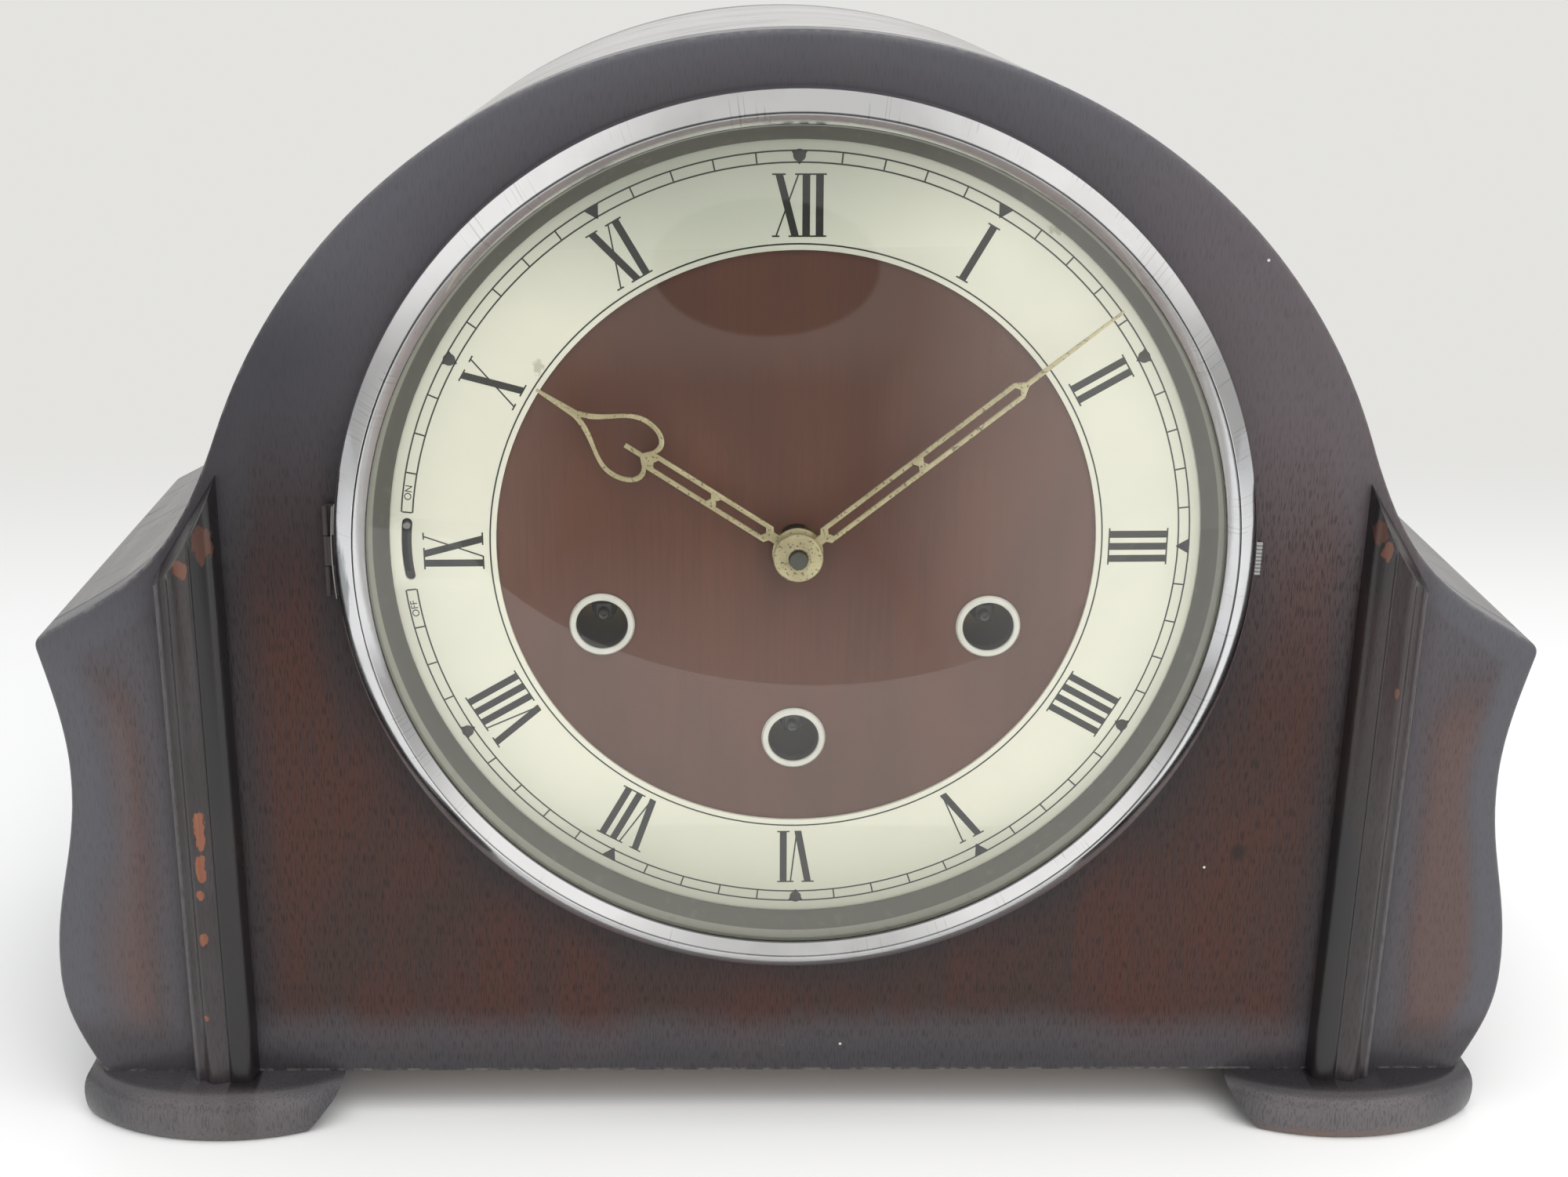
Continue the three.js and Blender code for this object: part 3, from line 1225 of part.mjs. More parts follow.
// Escapement
function escapeParts() {
  const wheelY = centreWheelY + WHEEL_THICKNESS + ESCAPE_GAP;
  const pitch = (2 * Math.PI) / ESCAPE_TEETH;
  const points = [];
  for (let i = 0; i < ESCAPE_TEETH; i += 1) {
    points.push(polar(0.8 * ESCAPE_RADIUS, i * pitch), polar(ESCAPE_RADIUS, (i + 0.25) * pitch));
  }
  const escapeDisc = plate(new THREE.Shape(points), wheelY, wheelY + ESCAPE_THICKNESS);
  escapeDisc.translate(escapeArbor.x, 0, escapeArbor.y);
  const escape = join(escapeDisc, disc(escapeArbor, PIVOT_RADIUS, frontPlateY, backPlateBackY, COARSE));

  const reach = (ESCAPE_RADIUS + ANCHOR_CLEARANCE) * Math.SQRT1_2;
  const tipZ = ESCAPE_HEIGHT + reach - ANCHOR_HEIGHT;
  const arms = polygon([
    [-reach, tipZ],
    [-reach * 0.62, tipZ * 0.36],
    [0, -1.5],
    [reach * 0.62, tipZ * 0.36],
    [reach, tipZ],
    [reach + 2, tipZ + 1.5],
    [reach * 0.8, 1.2],
    [0, 3],
    [-reach * 0.8, 1.2],
    [-reach - 2, tipZ + 1.5],
  ]);
  const pallets = plate(arms, wheelY - 0.5, wheelY + 1.7);
  pallets.translate(0, 0, ANCHOR_HEIGHT);
  const crutchY = backPlateBackY + CRUTCH_SETBACK;
  const crutchZ = ANCHOR_HEIGHT - CRUTCH_LENGTH;
  const rodY = backPlateBackY + PENDULUM_SETBACK;
  const pinX = PENDULUM_ROD_RADIUS + TURNED_GAP + 0.5;
  const crutchPin = (x) => disc(new THREE.Vector2(x, crutchZ), 0.5, crutchY, rodY + 2, 8);
  const anchor = join(
    pallets,
    disc(anchorArbor, PIVOT_RADIUS, wheelY - 2, crutchY + 1.5, COARSE),
    block(-2.6, 2.6, crutchY, crutchY + 1.5, crutchZ - 2, ANCHOR_HEIGHT + 2.4),
    crutchPin(pinX),
    crutchPin(-pinX),
  );

  const armZ = PENDULUM_PIVOT_HEIGHT + TURNED_GAP;
  const cock = join(
    block(
      -COCK_WIDTH / 2,
      COCK_WIDTH / 2,
      backPlateBackY,
      backPlateBackY + COCK_THICKNESS,
      ANCHOR_HEIGHT + 2 * PIVOT_RADIUS + 0.5,
      armZ + COCK_THICKNESS,
    ),
    block(
      -COCK_WIDTH / 2,
      COCK_WIDTH / 2,
      backPlateBackY,
      rodY + 3,
      armZ,
      armZ + COCK_THICKNESS,
    ),
  );

  const bobZ = PENDULUM_PIVOT_HEIGHT - PENDULUM_LENGTH;
  const nutZ = bobZ - BOB_RADIUS - 2;
  const springZ = PENDULUM_PIVOT_HEIGHT - 10;
  const bob = turned(
    [
      [0, rodY - BOB_THICKNESS / 2],
      [0.8 * BOB_RADIUS, rodY - BOB_THICKNESS / 3],
      [BOB_RADIUS, rodY],
      [0.8 * BOB_RADIUS, rodY + BOB_THICKNESS / 3],
      [0, rodY + BOB_THICKNESS / 2],
    ],
    new THREE.Vector2(0, bobZ),
    MEDIUM,
  );
  const pendulum = join(
    bob,
    block(-2.5, 2.5, rodY - 0.2, rodY + 0.2, springZ - 1, PENDULUM_PIVOT_HEIGHT),
    upright(0, rodY, PENDULUM_ROD_RADIUS, nutZ - 2, springZ, 8),
    upright(0, rodY, 2.6, nutZ - 1, nutZ + 1.5),
  );
  return [
    piece("escape_wheel", escape, "brass"),
    piece("anchor", anchor, "steel"),
    piece("pendulum_cock", cock, "brass"),
    piece("pendulum", pendulum, "brass"),
  ];
}

// Chime: rods held in an iron block on the base, and a hammer above each rod
function chimeParts() {
  const gongBlock = block(
    GONG_BLOCK_X,
    GONG_BLOCK_X + GONG_BLOCK_LENGTH,
    firstRodY - GONG_BLOCK_MARGIN,
    lastRodY + GONG_BLOCK_MARGIN,
    -UNDERSIDE_DROP + BASE_THICKNESS,
    -gongDrop + GONG_BLOCK_TOP_MARGIN,
  );
  const parts = [piece("gong_block", gongBlock, "iron")];
  const headBottom = -gongDrop + GONG_RADIUS + HAMMER_LIFT_GAP;
  const headTop = headBottom + HAMMER_HEAD_LENGTH;
  for (let i = 0; i < GONG_COUNT; i += 1) {
    const y = firstRodY + i * rodSpacing;
    const rod = new THREE.CylinderGeometry(GONG_RADIUS, GONG_RADIUS, GONG_LENGTH - i * GONG_STEP, 8);
    rod.rotateZ(Math.PI / 2);
    rod.translate(GONG_BLOCK_X - (GONG_LENGTH - i * GONG_STEP) / 2, y, -gongDrop);
    parts.push(piece(`gong_rod_${i + 1}`, rod, "steel"));

    const frontY = y - HAMMER_ARM_THICKNESS / 2;
    const backY = y + HAMMER_ARM_THICKNESS / 2;
    const bossHalf = rodSpacing / 2 - TURNED_GAP;
    const arm = polygon([
      [HAMMER_PIVOT_X, -HAMMER_PIVOT_DROP - 3],
      [HAMMER_HEAD_X - 2, headTop - 3],
      [HAMMER_HEAD_X + 2, headTop - 3],
      [HAMMER_HEAD_X + 2, headTop],
      [HAMMER_PIVOT_X, -HAMMER_PIVOT_DROP + 3],
    ]);
    const hammer = cut(
      join(
        plate(arm, frontY, backY),
        disc(hammerPivot, HAMMER_BOSS_RADIUS, y - bossHalf, y + bossHalf, COARSE),
        upright(HAMMER_HEAD_X, y, hammerHeadRadius, headBottom, headTop),
      ),
      disc(hammerPivot, HAMMER_ARBOR_RADIUS + RUNNING_GAP, y - rodSpacing, y + rodSpacing, COARSE),
    );
    parts.push(piece(`hammer_${i + 1}`, hammer, "brass"));
  }
  return parts;
}

const clock = new THREE.Group();
clock.add(
  ...caseParts(),
  ...bezelParts(),
  ...dialParts(),
  ...handParts(),
  ...motionParts(),
  ...trainParts(),
  ...frameParts(),
  ...escapeParts(),
  ...chimeParts(),
);
clock.position.set(0, -(glassFrontY + knobBackY) / 2, FOOT_HEIGHT + UNDERSIDE_DROP);

export default clock;
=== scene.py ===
# %% [markdown]
# # A chiming mantel clock
# The clock stands ready as a frame of plain solids. This lesson gives it its looks: every visible piece
# is modelled again with soft edges and fine curves, every surface gets a finish made of nodes, and at
# the end the clock is lit and seen from where the photograph was taken. The frame comes first, because
# each new piece takes its place from it and later moves with it.

# %% Load the frame
import math
from itertools import chain

import bpy
from mathutils import Matrix, Vector
from mathutils.geometry import intersect_point_line


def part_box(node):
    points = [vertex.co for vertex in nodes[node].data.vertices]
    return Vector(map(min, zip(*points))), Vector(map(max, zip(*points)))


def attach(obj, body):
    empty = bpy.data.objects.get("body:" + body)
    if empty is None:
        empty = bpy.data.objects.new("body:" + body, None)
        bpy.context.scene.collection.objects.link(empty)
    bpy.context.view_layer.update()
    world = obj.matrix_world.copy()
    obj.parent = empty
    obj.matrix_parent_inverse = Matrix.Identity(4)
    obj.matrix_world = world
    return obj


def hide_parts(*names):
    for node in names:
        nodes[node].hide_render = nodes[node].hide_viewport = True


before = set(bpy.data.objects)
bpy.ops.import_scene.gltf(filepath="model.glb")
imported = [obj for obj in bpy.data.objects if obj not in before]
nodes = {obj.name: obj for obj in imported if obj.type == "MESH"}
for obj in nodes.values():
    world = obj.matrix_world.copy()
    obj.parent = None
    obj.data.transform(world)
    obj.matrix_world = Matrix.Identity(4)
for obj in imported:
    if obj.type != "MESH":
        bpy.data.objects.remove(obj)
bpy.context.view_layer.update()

# %% [markdown]
# ## Places
# A clock is measured from the middle of its dial, so all sizes below are millimetres from that point: x
# to the right, z up, and y backwards from the face of the front panel. One function turns such a place
# into Blender's metres. The middle is found on the frame itself, as the middle of the glass.

# %% Places around the dial's middle
MM = 0.001
glass_low, glass_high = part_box("bezel_glass")
glass_middle = (glass_low + glass_high) / 2
DIAL_MIDDLE = Vector((glass_middle.x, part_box("front_panel")[0].y, glass_middle.z))


def spot(x, y, z):
    """A place around the dial's middle, from millimetres to metres."""
    return DIAL_MIDDLE + MM * Vector((x, y, z))


print("dial middle", [round(value, 4) for value in DIAL_MIDDLE])

# %% [markdown]
# ## Writing finishes as formulas
# A finish is a node tree, and trees are easier to read as formulas. `Wire` stands for one output of a
# node and knows plain arithmetic: `1 - mask` adds the Math node that does it. `Finish` owns a material
# and adds any other node with one method. Its helpers are the few patterns that all the finishes here
# share.

# %% A wire between nodes
class Wire:
    """One output of a node. Arithmetic on wires adds Math nodes."""

    def __init__(self, finish, socket):
        self.finish = finish
        self.socket = socket

    def maths(self, operation, *values):
        return self.finish.node("ShaderNodeMath", {"operation": operation}, dict(enumerate(values)))

    def __add__(self, other):
        return self.maths("ADD", self, other)

    def __radd__(self, other):
        return self.maths("ADD", other, self)

    def __sub__(self, other):
        return self.maths("SUBTRACT", self, other)

    def __rsub__(self, other):
        return self.maths("SUBTRACT", other, self)

    def __mul__(self, other):
        return self.maths("MULTIPLY", self, other)

    def __rmul__(self, other):
        return self.maths("MULTIPLY", other, self)

    def at_least(self, other):
        """The greater of two values."""
        return self.maths("MAXIMUM", self, other)

    def size(self):
        """The value without its sign."""
        return self.maths("ABSOLUTE", self)


# %% A finish and its nodes
class Finish:
    """A material, built node by node."""

    def __init__(self, name, tree=None):
        if tree is None:
            self.material = bpy.data.materials.new(name)
            self.material.use_nodes = True
            tree = self.material.node_tree
            self.shader = tree.nodes["Principled BSDF"]
        self.tree = tree

    def node(self, kind, settings=None, sockets=None, output=0):
        made = self.tree.nodes.new(kind)
        for key, value in (settings or {}).items():
            setattr(made, key, value)
        for key, value in (sockets or {}).items():
            self.feed(made.inputs[key], value)
        return Wire(self, made.outputs[output])

    def feed(self, socket, value):
        if isinstance(value, Wire):
            self.tree.links.new(value.socket, socket)
        else:
            socket.default_value = value

    def set(self, **values):
        """Values or wires for the main shader's sockets, with _ for a space in a name."""
        for key, value in values.items():
            self.feed(self.shader.inputs[key.replace("_", " ")], value)

    def place(self):
        """Object coordinates as millimetres from the dial's middle."""
        coordinates = self.node("ShaderNodeTexCoord", output="Object")
        shift = tuple(-value / MM for value in DIAL_MIDDLE)
        scale = (1 / MM,) * 3
        return self.node("ShaderNodeMapping", {}, {"Vector": coordinates, "Location": shift, "Scale": scale})

    def stretched(self, place, x, y, z):
        """The place with each direction measured in cells of the given millimetres."""
        cells = (1 / x, 1 / y, 1 / z)
        settings = {"operation": "MULTIPLY"}
        return self.node("ShaderNodeVectorMath", settings, {0: place, 1: cells})

    def noise(self, place, x, y, z, detail=2.0, roughness=0.5, distortion=0.0):
        values = {"Vector": self.stretched(place, x, y, z), "Scale": 1.0, "Detail": detail}
        values.update({"Roughness": roughness, "Distortion": distortion})
        return self.node("ShaderNodeTexNoise", {}, values)

    def rise(self, value, low, high):
        """0 below low, 1 above high and a soft step between them."""
        sockets = {"Value": value, "From Min": low, "From Max": high}
        return self.node("ShaderNodeMapRange", {"interpolation_type": "SMOOTHSTEP"}, sockets)

    def bands(self, value, scale):
        """Noise along one number, for lines and rings."""
        values = {"W": value, "Scale": scale, "Detail": 2.0}
        return self.node("ShaderNodeTexNoise", {"noise_dimensions": "1D"}, values)

    def blend(self, factor, first, second):
        """One colour turned into another, by a factor."""
        colours = {0: factor, 6: first, 7: second}
        return self.node("ShaderNodeMix", {"data_type": "RGBA"}, colours, output=2)

    def apart(self, place, axis):
        """One coordinate of a place."""
        return self.node("ShaderNodeSeparateXYZ", {}, {0: place}, output=axis)

    def distance(self, place, point, sizes=(1, 1, 1)):
        """Distance from a point, with each direction measured in the given sizes."""
        away = self.node("ShaderNodeVectorMath", {"operation": "SUBTRACT"}, {0: place, 1: point})
        scaled = self.stretched(away, *sizes)
        return self.node("ShaderNodeVectorMath", {"operation": "LENGTH"}, {0: scaled}, output="Value")

    def from_middle(self, place):
        """Distance from the axis of the dial."""
        return self.distance(place, (0, 0, 0), (1, 1000, 1))

    def base_colour(self):
        """The wire that feeds the base colour."""
        return Wire(self, self.shader.inputs["Base Color"].links[0].from_socket)

    def bump(self, height, strength, distance_mm):
        values = {"Height": height, "Strength": strength, "Distance": distance_mm * MM}
        return self.node("ShaderNodeBump", {}, values)


print("finishes can be written")

# %% [markdown]
# ## Mahogany
# The panel is mahogany veneer under an old dark polish. Three sizes of pattern make it: broad clouds of
# figure, streaks that run up the panel, and short dark pores a few millimetres long. A toner was
# sprayed on along the edges, and the red of the wood glows between. Beside the pilasters, round the
# bezel and along the foot the panel is darker: toner with painted shade. Over the arch and on the wings
# the grey is toner with painted sheen. The arch is painted lighter on the right and darker on the left,
# and the pale line along the front edge is wear with a painted highlight. The panel will carry its
# distance from the edge as an attribute, so the toner can follow the outline. Noise stretched along
# the grain gives the rest, and the pores also press a little into the bump.

# %% Mahogany
LACQUER_IOR = 1.5
DULL_IOR = 1.37
BROWN_WOOD = (0.041, 0.0195, 0.0145, 1)
RED_WOOD = (0.060, 0.019, 0.012, 1)
ROSE_WOOD = (0.106, 0.068, 0.061, 1)
DARK_TONER_AND_SHADE = (0.022, 0.020, 0.023, 1)
GREY_TONER_AND_SHEEN = (0.090, 0.089, 0.100, 1)
WEAR_AND_EDGE_HIGHLIGHT = (0.15, 0.14, 0.13, 1)
PORE = (0.006, 0.004, 0.004, 1)
DUST = (0.60, 0.60, 0.57, 1)
LIT_ARCH = (0.106, 0.080, 0.084, 1)
KNOT = (0.011, 0.008, 0.007, 1)
KNOT_PLACE = (94.6, 0, -66.7)
KNOT_SIZE = (2.2, 50, 2.6)
EDGE_DISTANCE = "edge_distance"


def wood_pattern(finish, place, along):
    """Figure, streaks and pores of mahogany with the grain along one axis, from 0 to 1 each."""
    figure_cell = [22.0, 22.0, 22.0]
    streak_cell = [0.9, 0.9, 0.9]
    pore_cell = [0.25, 0.25, 0.25]
    figure_cell[along] = 70.0
    streak_cell[along] = 26.0
    pore_cell[along] = 2.8
    figure = finish.noise(place, *figure_cell, detail=3.0, distortion=0.6)
    streaks = finish.noise(place, *streak_cell, detail=3.0, roughness=0.6)
    pores = finish.rise(finish.noise(place, *pore_cell, detail=1.0), 0.51, 0.64)
    return figure, streaks, pores


def dust_specks(finish, place, cell, share):
    """Tiny pale specks, one in some of the cells of a random pattern."""
    cells = finish.stretched(place, cell, cell, cell)
    near = finish.node("ShaderNodeTexVoronoi", {}, {"Vector": cells, "Scale": 1.0}, output="Distance")
    chance = finish.node("ShaderNodeTexVoronoi", {}, {"Vector": cells, "Scale": 1.0}, output="Color")
    chosen = finish.rise(finish.apart(chance, 0), 1 - share, 1.001 - share)
    return chosen * (1 - finish.rise(near, 0.016, 0.028))


def red_wood(finish, figure, streaks):
    wood = finish.blend(finish.rise(figure, 0.32, 0.68), BROWN_WOOD, RED_WOOD)
    return finish.blend(finish.rise(streaks, 0.42, 0.72) * 0.4, wood, DARK_TONER_AND_SHADE)


def polish(finish, place, colour, streaks, pores):
    """The polish over the wood: a haze in its gloss and pores pressed into it."""
    haze = finish.rise(finish.noise(place, 60, 60, 60, detail=4.0), 0.3, 0.8)
    finish.set(
        Base_Color=finish.blend(dust_specks(finish, place, 13, 0.3), colour, DUST),
        Roughness=0.28 + 0.08 * haze + 0.1 * pores,
        IOR=DULL_IOR,
        Normal=finish.bump(1 - pores * 0.6 - streaks * 0.25, 0.12, 0.1),
    )


print("mahogany can be grained and polished")

# %% Plain mahogany
def make_door_wood():
    finish = Finish("plain mahogany")
    place = finish.place()
    figure, streaks, pores = wood_pattern(finish, place, 2)
    colour = finish.blend(pores * 0.7, red_wood(finish, figure, streaks), PORE)
    polish(finish, place, colour, streaks, pores)
    return finish


door_wood = make_door_wood()
print(door_wood.material.name)

# %% Toner on the mahogany
def dark_toner_and_shade(finish, place, aside, low, drift):
    """Where dark toner and painted shade lie: beside the reeds, round the bezel and along the foot of the
    panel.
    """
    beside_reeds = finish.rise(aside, 105, 114) * (1 - 0.55 * finish.rise(aside, 125, 127))
    beside_reeds = beside_reeds * (1 - finish.rise(aside, 128, 134))
    beside_bezel = 0.85 * (1 - finish.rise(finish.from_middle(place) + 8 * drift, 91, 104))
    return beside_reeds.at_least(beside_bezel).at_least(low)


def grey_toner_and_sheen(finish, from_edge, width, low, arch, wing_sheen):
    """Where grey toner lies along the edge, and grey painted sheen over the arch and on the wings."""
    grey = (1 - finish.rise(from_edge, 4, width)) * (1 - 0.5 * low)
    return grey.at_least(arch * 0.95).at_least(wing_sheen * 0.8)


def light_and_shade_arch(finish, colour, across, height, drift, wings):
    """Painted light and shade on the arch: lighter and warm on the right, darker on the left."""
    high = height + 14 * drift
    lit_right_arch = finish.rise(high, -40, 26) * finish.rise(across, 40, 100) * (1 - wings)
    colour = finish.blend(lit_right_arch * 0.6, colour, LIT_ARCH)
    shaded_left_arch = finish.rise(high, -30, 10) * (1 - finish.rise(height, 36, 66))
    shaded_left_arch = shaded_left_arch * finish.rise(-1 * across, 70, 104)
    return finish.blend(shaded_left_arch * 0.6, colour, DARK_TONER_AND_SHADE)


def wear_and_highlight_panel(finish, colour, place, from_edge):
    """A knot at the lower right, and pale wear with a painted highlight along the front edge."""
    knot = 1 - finish.rise(finish.distance(place, KNOT_PLACE, KNOT_SIZE), 0.3, 1.1)
    colour = finish.blend(knot * 0.8, colour, KNOT)
    # The pale mark along the front edge is partly wear and partly a painted highlight.
    wear = finish.rise(finish.noise(place, 2.5, 9, 2.5, detail=3.0), 0.45, 0.6)
    wear = wear * (1 - finish.rise(from_edge, 0.15, 0.7))
    wear = wear * (1 - finish.rise(finish.apart(place, 1), 0.5, 1.3))
    return finish.blend(wear * 0.7, colour, WEAR_AND_EDGE_HIGHLIGHT)


# Besides toner and wear, these functions paint shade, sheen and light on the panel.
print("toner can be sprayed and worn")

# %% Toned mahogany
def make_mahogany():
    finish = Finish("toned mahogany")
    place = finish.place()
    figure, streaks, pores = wood_pattern(finish, place, 2)
    drift = figure - 0.5
    across = finish.apart(place, 0)
    height = finish.apart(place, 2)
    aside = across.size() + 7 * drift
    from_edge = finish.node("ShaderNodeAttribute", {"attribute_name": EDGE_DISTANCE}, output="Fac")
    right = finish.rise(across, 120, 140)
    # The wing and arch masks place grey painted sheen as well as toner.
    wings = finish.rise(aside, 126, 129)
    low = 1 - finish.rise(height + 8 * drift, -118, -103)
    arch = finish.rise(height + 14 * drift, -6, 34)
    rosy = finish.rise(aside, 130, 138) * finish.rise(from_edge + 6 * drift + 3 * right, 4, 12)
    rosy = rosy * (1 - finish.rise(height, -42, -18))
    dark = dark_toner_and_shade(finish, place, aside, low, drift) * (1 - 0.5 * arch)
    grey = grey_toner_and_sheen(finish, from_edge + 8 * drift, 17 - 6 * right, low, arch, wings * (1 - rosy))
    colour = finish.blend(rosy, red_wood(finish, figure, streaks), ROSE_WOOD)
    colour = finish.blend(dark * 0.85, colour, DARK_TONER_AND_SHADE)
    colour = finish.blend(grey * (1 - 0.45 * dark), colour, GREY_TONER_AND_SHEEN)
    colour = light_and_shade_arch(finish, colour, across, height, drift, wings)
    pore_depth = (0.62 - 0.48 * grey) * (1 - 0.6 * rosy)
    colour = finish.blend(pores * pore_depth, colour, PORE)
    colour = wear_and_highlight_panel(finish, colour, place, from_edge)
    polish(finish, place, colour, streaks, pores)
    return finish


mahogany = make_mahogany()
print(mahogany.material.name)

# %% [markdown]
# ## Dark wood
# The cover, the feet and the pilasters carry so much toner that they look nearly black, with a grey
# bloom. Their edges have worn through to orange wood in small chips, mostly on the left pilaster, so
# chips are placed as stretched spots with a ragged edge. On the cover the polish has fine scratches
# along its curve.
# The pale bead on each pilaster and the pale round front of each foot are painted highlights, and the dark
# ledge on each foot is painted shade.

# %% Dark wood
CHIPS = [
    ((-121.7, -4, -59.5), (1.3, 9, 5.2), 1.0),
    ((-122.0, -4, -68), (1.1, 9, 3.4), 1.0),
    ((-122.4, -4, -74.5), (0.9, 9, 1.2), 1.0),
    ((-122.6, -4, -84.8), (0.9, 9, 1.8), 0.9),
    ((-123.4, -4, -103.5), (0.6, 9, 0.8), 0.8),
    ((-116.6, -4, 2.3), (1.9, 9, 4.2), 0.28),
    ((-121.2, -4, -3.2), (1.5, 9, 2.2), 0.5),
    ((115.8, -4, 6), (1.5, 9, 2.6), 0.25),
    ((117.4, -4, 2.2), (1.3, 9, 2.2), 0.42),
    ((122.6, -4, -28), (0.5, 9, 1.2), 0.5),
]
BARE_WOOD = (0.19, 0.058, 0.026, 1)
PALE_BARE = (0.30, 0.12, 0.06, 1)
REED_SHADE = (0.011, 0.010, 0.011, 1)
BEAD_HIGHLIGHT = (0.10, 0.095, 0.10, 1)
RED_FIGURE = (0.044, 0.022, 0.018, 1)
NOSE_SHEEN = (0.112, 0.098, 0.100, 1)
LEDGE_SHADE = (0.020, 0.018, 0.020, 1)
RUBBED_FOOT = (0.16, 0.085, 0.055, 1)


def shade_reeds(finish, colour, aside, depth):
    """The inner reed of each pilaster is darker, and the outer bead has a pale painted highlight."""
    on_front = 1 - finish.rise(depth, 0.2, 0.6)
    inner_reed = finish.rise(aside, 113, 114) * (1 - finish.rise(aside, 119.2, 119.9)) * on_front
    colour = finish.blend(inner_reed * 0.9, colour, REED_SHADE)
    bead = finish.rise(aside, 125.9, 126.5) * (1 - finish.rise(aside, 129, 130)) * on_front
    return finish.blend(bead * 0.6, colour, BEAD_HIGHLIGHT)


def shade_feet(finish, colour, across, depth, height):
    """The round front of each foot has a pale painted sheen, stronger on the right, and the ledge behind it
    painted shade.
    """
    nose_sheen = 1 - finish.rise(depth, -9.5, -5.5)
    nose_sheen = nose_sheen * (0.7 + 0.25 * finish.rise(across, -20, 60))
    colour = finish.blend(nose_sheen, colour, NOSE_SHEEN)
    ledge = finish.rise(height, -121.5, -120.3) * (1 - finish.rise(height, -119.5, -119.0))
    ledge = ledge * (0.2 + 0.45 * finish.rise(across, -20, 20))
    return finish.blend(ledge, colour, LEDGE_SHADE)


def chip_edges(finish, colour, place, streaks, ragged):
    """Chips down to bare wood, and a worn front on the right foot."""
    bare = finish.blend(finish.rise(streaks, 0.3, 0.7) * 0.5, BARE_WOOD, PALE_BARE)
    for point, sizes, strength in CHIPS:
        near = 1 - finish.rise(finish.distance(place, point, sizes) + ragged * 1.5, 0.8, 1.0)
        colour = finish.blend(near * strength, colour, bare)
    worn = finish.distance(place, (118, -12, -131), (30, 9, 3.2)) + ragged
    return finish.blend(0.5 * (1 - finish.rise(worn, 0.5, 1.1)), colour, RUBBED_FOOT)


def make_dark_wood(name, dark, bloomed):
    finish = Finish(name)
    place = finish.place()
    figure, streaks, pores = wood_pattern(finish, place, 2)
    across, depth, height = [finish.apart(place, axis) for axis in range(3)]
    bloom = finish.rise(finish.noise(place, 40, 40, 40, detail=3.0), 0.35, 0.7)
    ragged = finish.noise(place, 1.2, 1.2, 2.4, detail=3.0) - 0.5
    colour = finish.blend(bloom, dark, bloomed)
    colour = shade_reeds(finish, colour, across.size(), depth)
    colour = finish.blend(finish.rise(figure, 0.5, 0.75) * 0.4, colour, RED_FIGURE)
    colour = shade_feet(finish, colour, across, depth, height)
    colour = finish.blend(pores * 0.4, colour, PORE)
    colour = chip_edges(finish, colour, place, streaks, ragged)
    rubbed = finish.distance(place, (-132, -12, -127), (7, 9, 2.2)) + ragged
    finish.set(
        Base_Color=finish.blend(dust_specks(finish, place, 9, 0.35), colour, DUST),
        Roughness=0.22 + 0.08 * bloom - 0.10 * (1 - finish.rise(rubbed, 0.3, 1.0)),
        IOR=LACQUER_IOR,
        Normal=finish.bump(1 - pores * 0.5 - streaks * 0.4, 0.15, 0.1),
    )
    return finish


dark_wood = make_dark_wood("dark polished wood", (0.026, 0.020, 0.021, 1), (0.044, 0.036, 0.038, 1))
foot_wood = make_dark_wood("grey polished wood", (0.055, 0.052, 0.056, 1), (0.074, 0.070, 0.075, 1))
print(dark_wood.material.name, "and", foot_wood.material.name, "with", len(CHIPS), "chips")

# %% The cover's wood, with scratches along its curve
COVER_DARK = (0.036, 0.030, 0.029, 1)
COVER_BLOOM = (0.060, 0.056, 0.056, 1)
COVER_RED = (0.056, 0.030, 0.024, 1)
SCRATCH = (0.012, 0.010, 0.010, 1)
BRUSHED_SHEEN = (0.13, 0.13, 0.13, 1)


def make_cover_wood():
    finish = Finish("cover veneer")
    place = finish.place()
    figure, streaks, _ = wood_pattern(finish, place, 1)
    bloom = finish.rise(finish.noise(place, 50, 30, 50, detail=4.0), 0.3, 0.7)
    colour = finish.blend(bloom, COVER_DARK, COVER_BLOOM)
    colour = finish.blend(finish.rise(figure, 0.5, 0.8) * 0.4, colour, COVER_RED)
    scratches = finish.rise(finish.noise(place, 26, 0.9, 26, detail=2.0, distortion=0.5), 0.66, 0.70)
    colour = finish.blend(scratches * 0.5, colour, SCRATCH)
    # Grey streaks on the shoulders, stronger on their upper part, are brushed marks with a painted sheen.
    shoulders = finish.rise(finish.apart(place, 0).size(), 92, 116)
    upper = finish.rise(finish.apart(place, 2), -26, -18)
    brushed = finish.rise(finish.noise(place, 3.0, 40, 3.0, detail=2.0), 0.5, 0.7)
    colour = finish.blend(brushed * shoulders * (0.12 + 0.3 * upper), colour, BRUSHED_SHEEN)
    finish.set(
        Base_Color=colour,
        Roughness=0.09 + 0.14 * shoulders + 0.05 * bloom + 0.35 * scratches,
        IOR=LACQUER_IOR,
        Normal=finish.bump(1 - scratches * 0.4 - streaks * 0.2, 0.04, 0.05),
    )
    return finish


cover_wood = make_cover_wood()
print(cover_wood.material.name)

# %% [markdown]
# ## Raw wood
# The base board is never seen in use, so it was left unpolished: pale brown softwood with wide grain.
# Two colours mixed by a stretched noise are enough.

# %% Raw wood
RAW_DARK = (0.24, 0.13, 0.065, 1)
RAW_PALE = (0.36, 0.22, 0.12, 1)


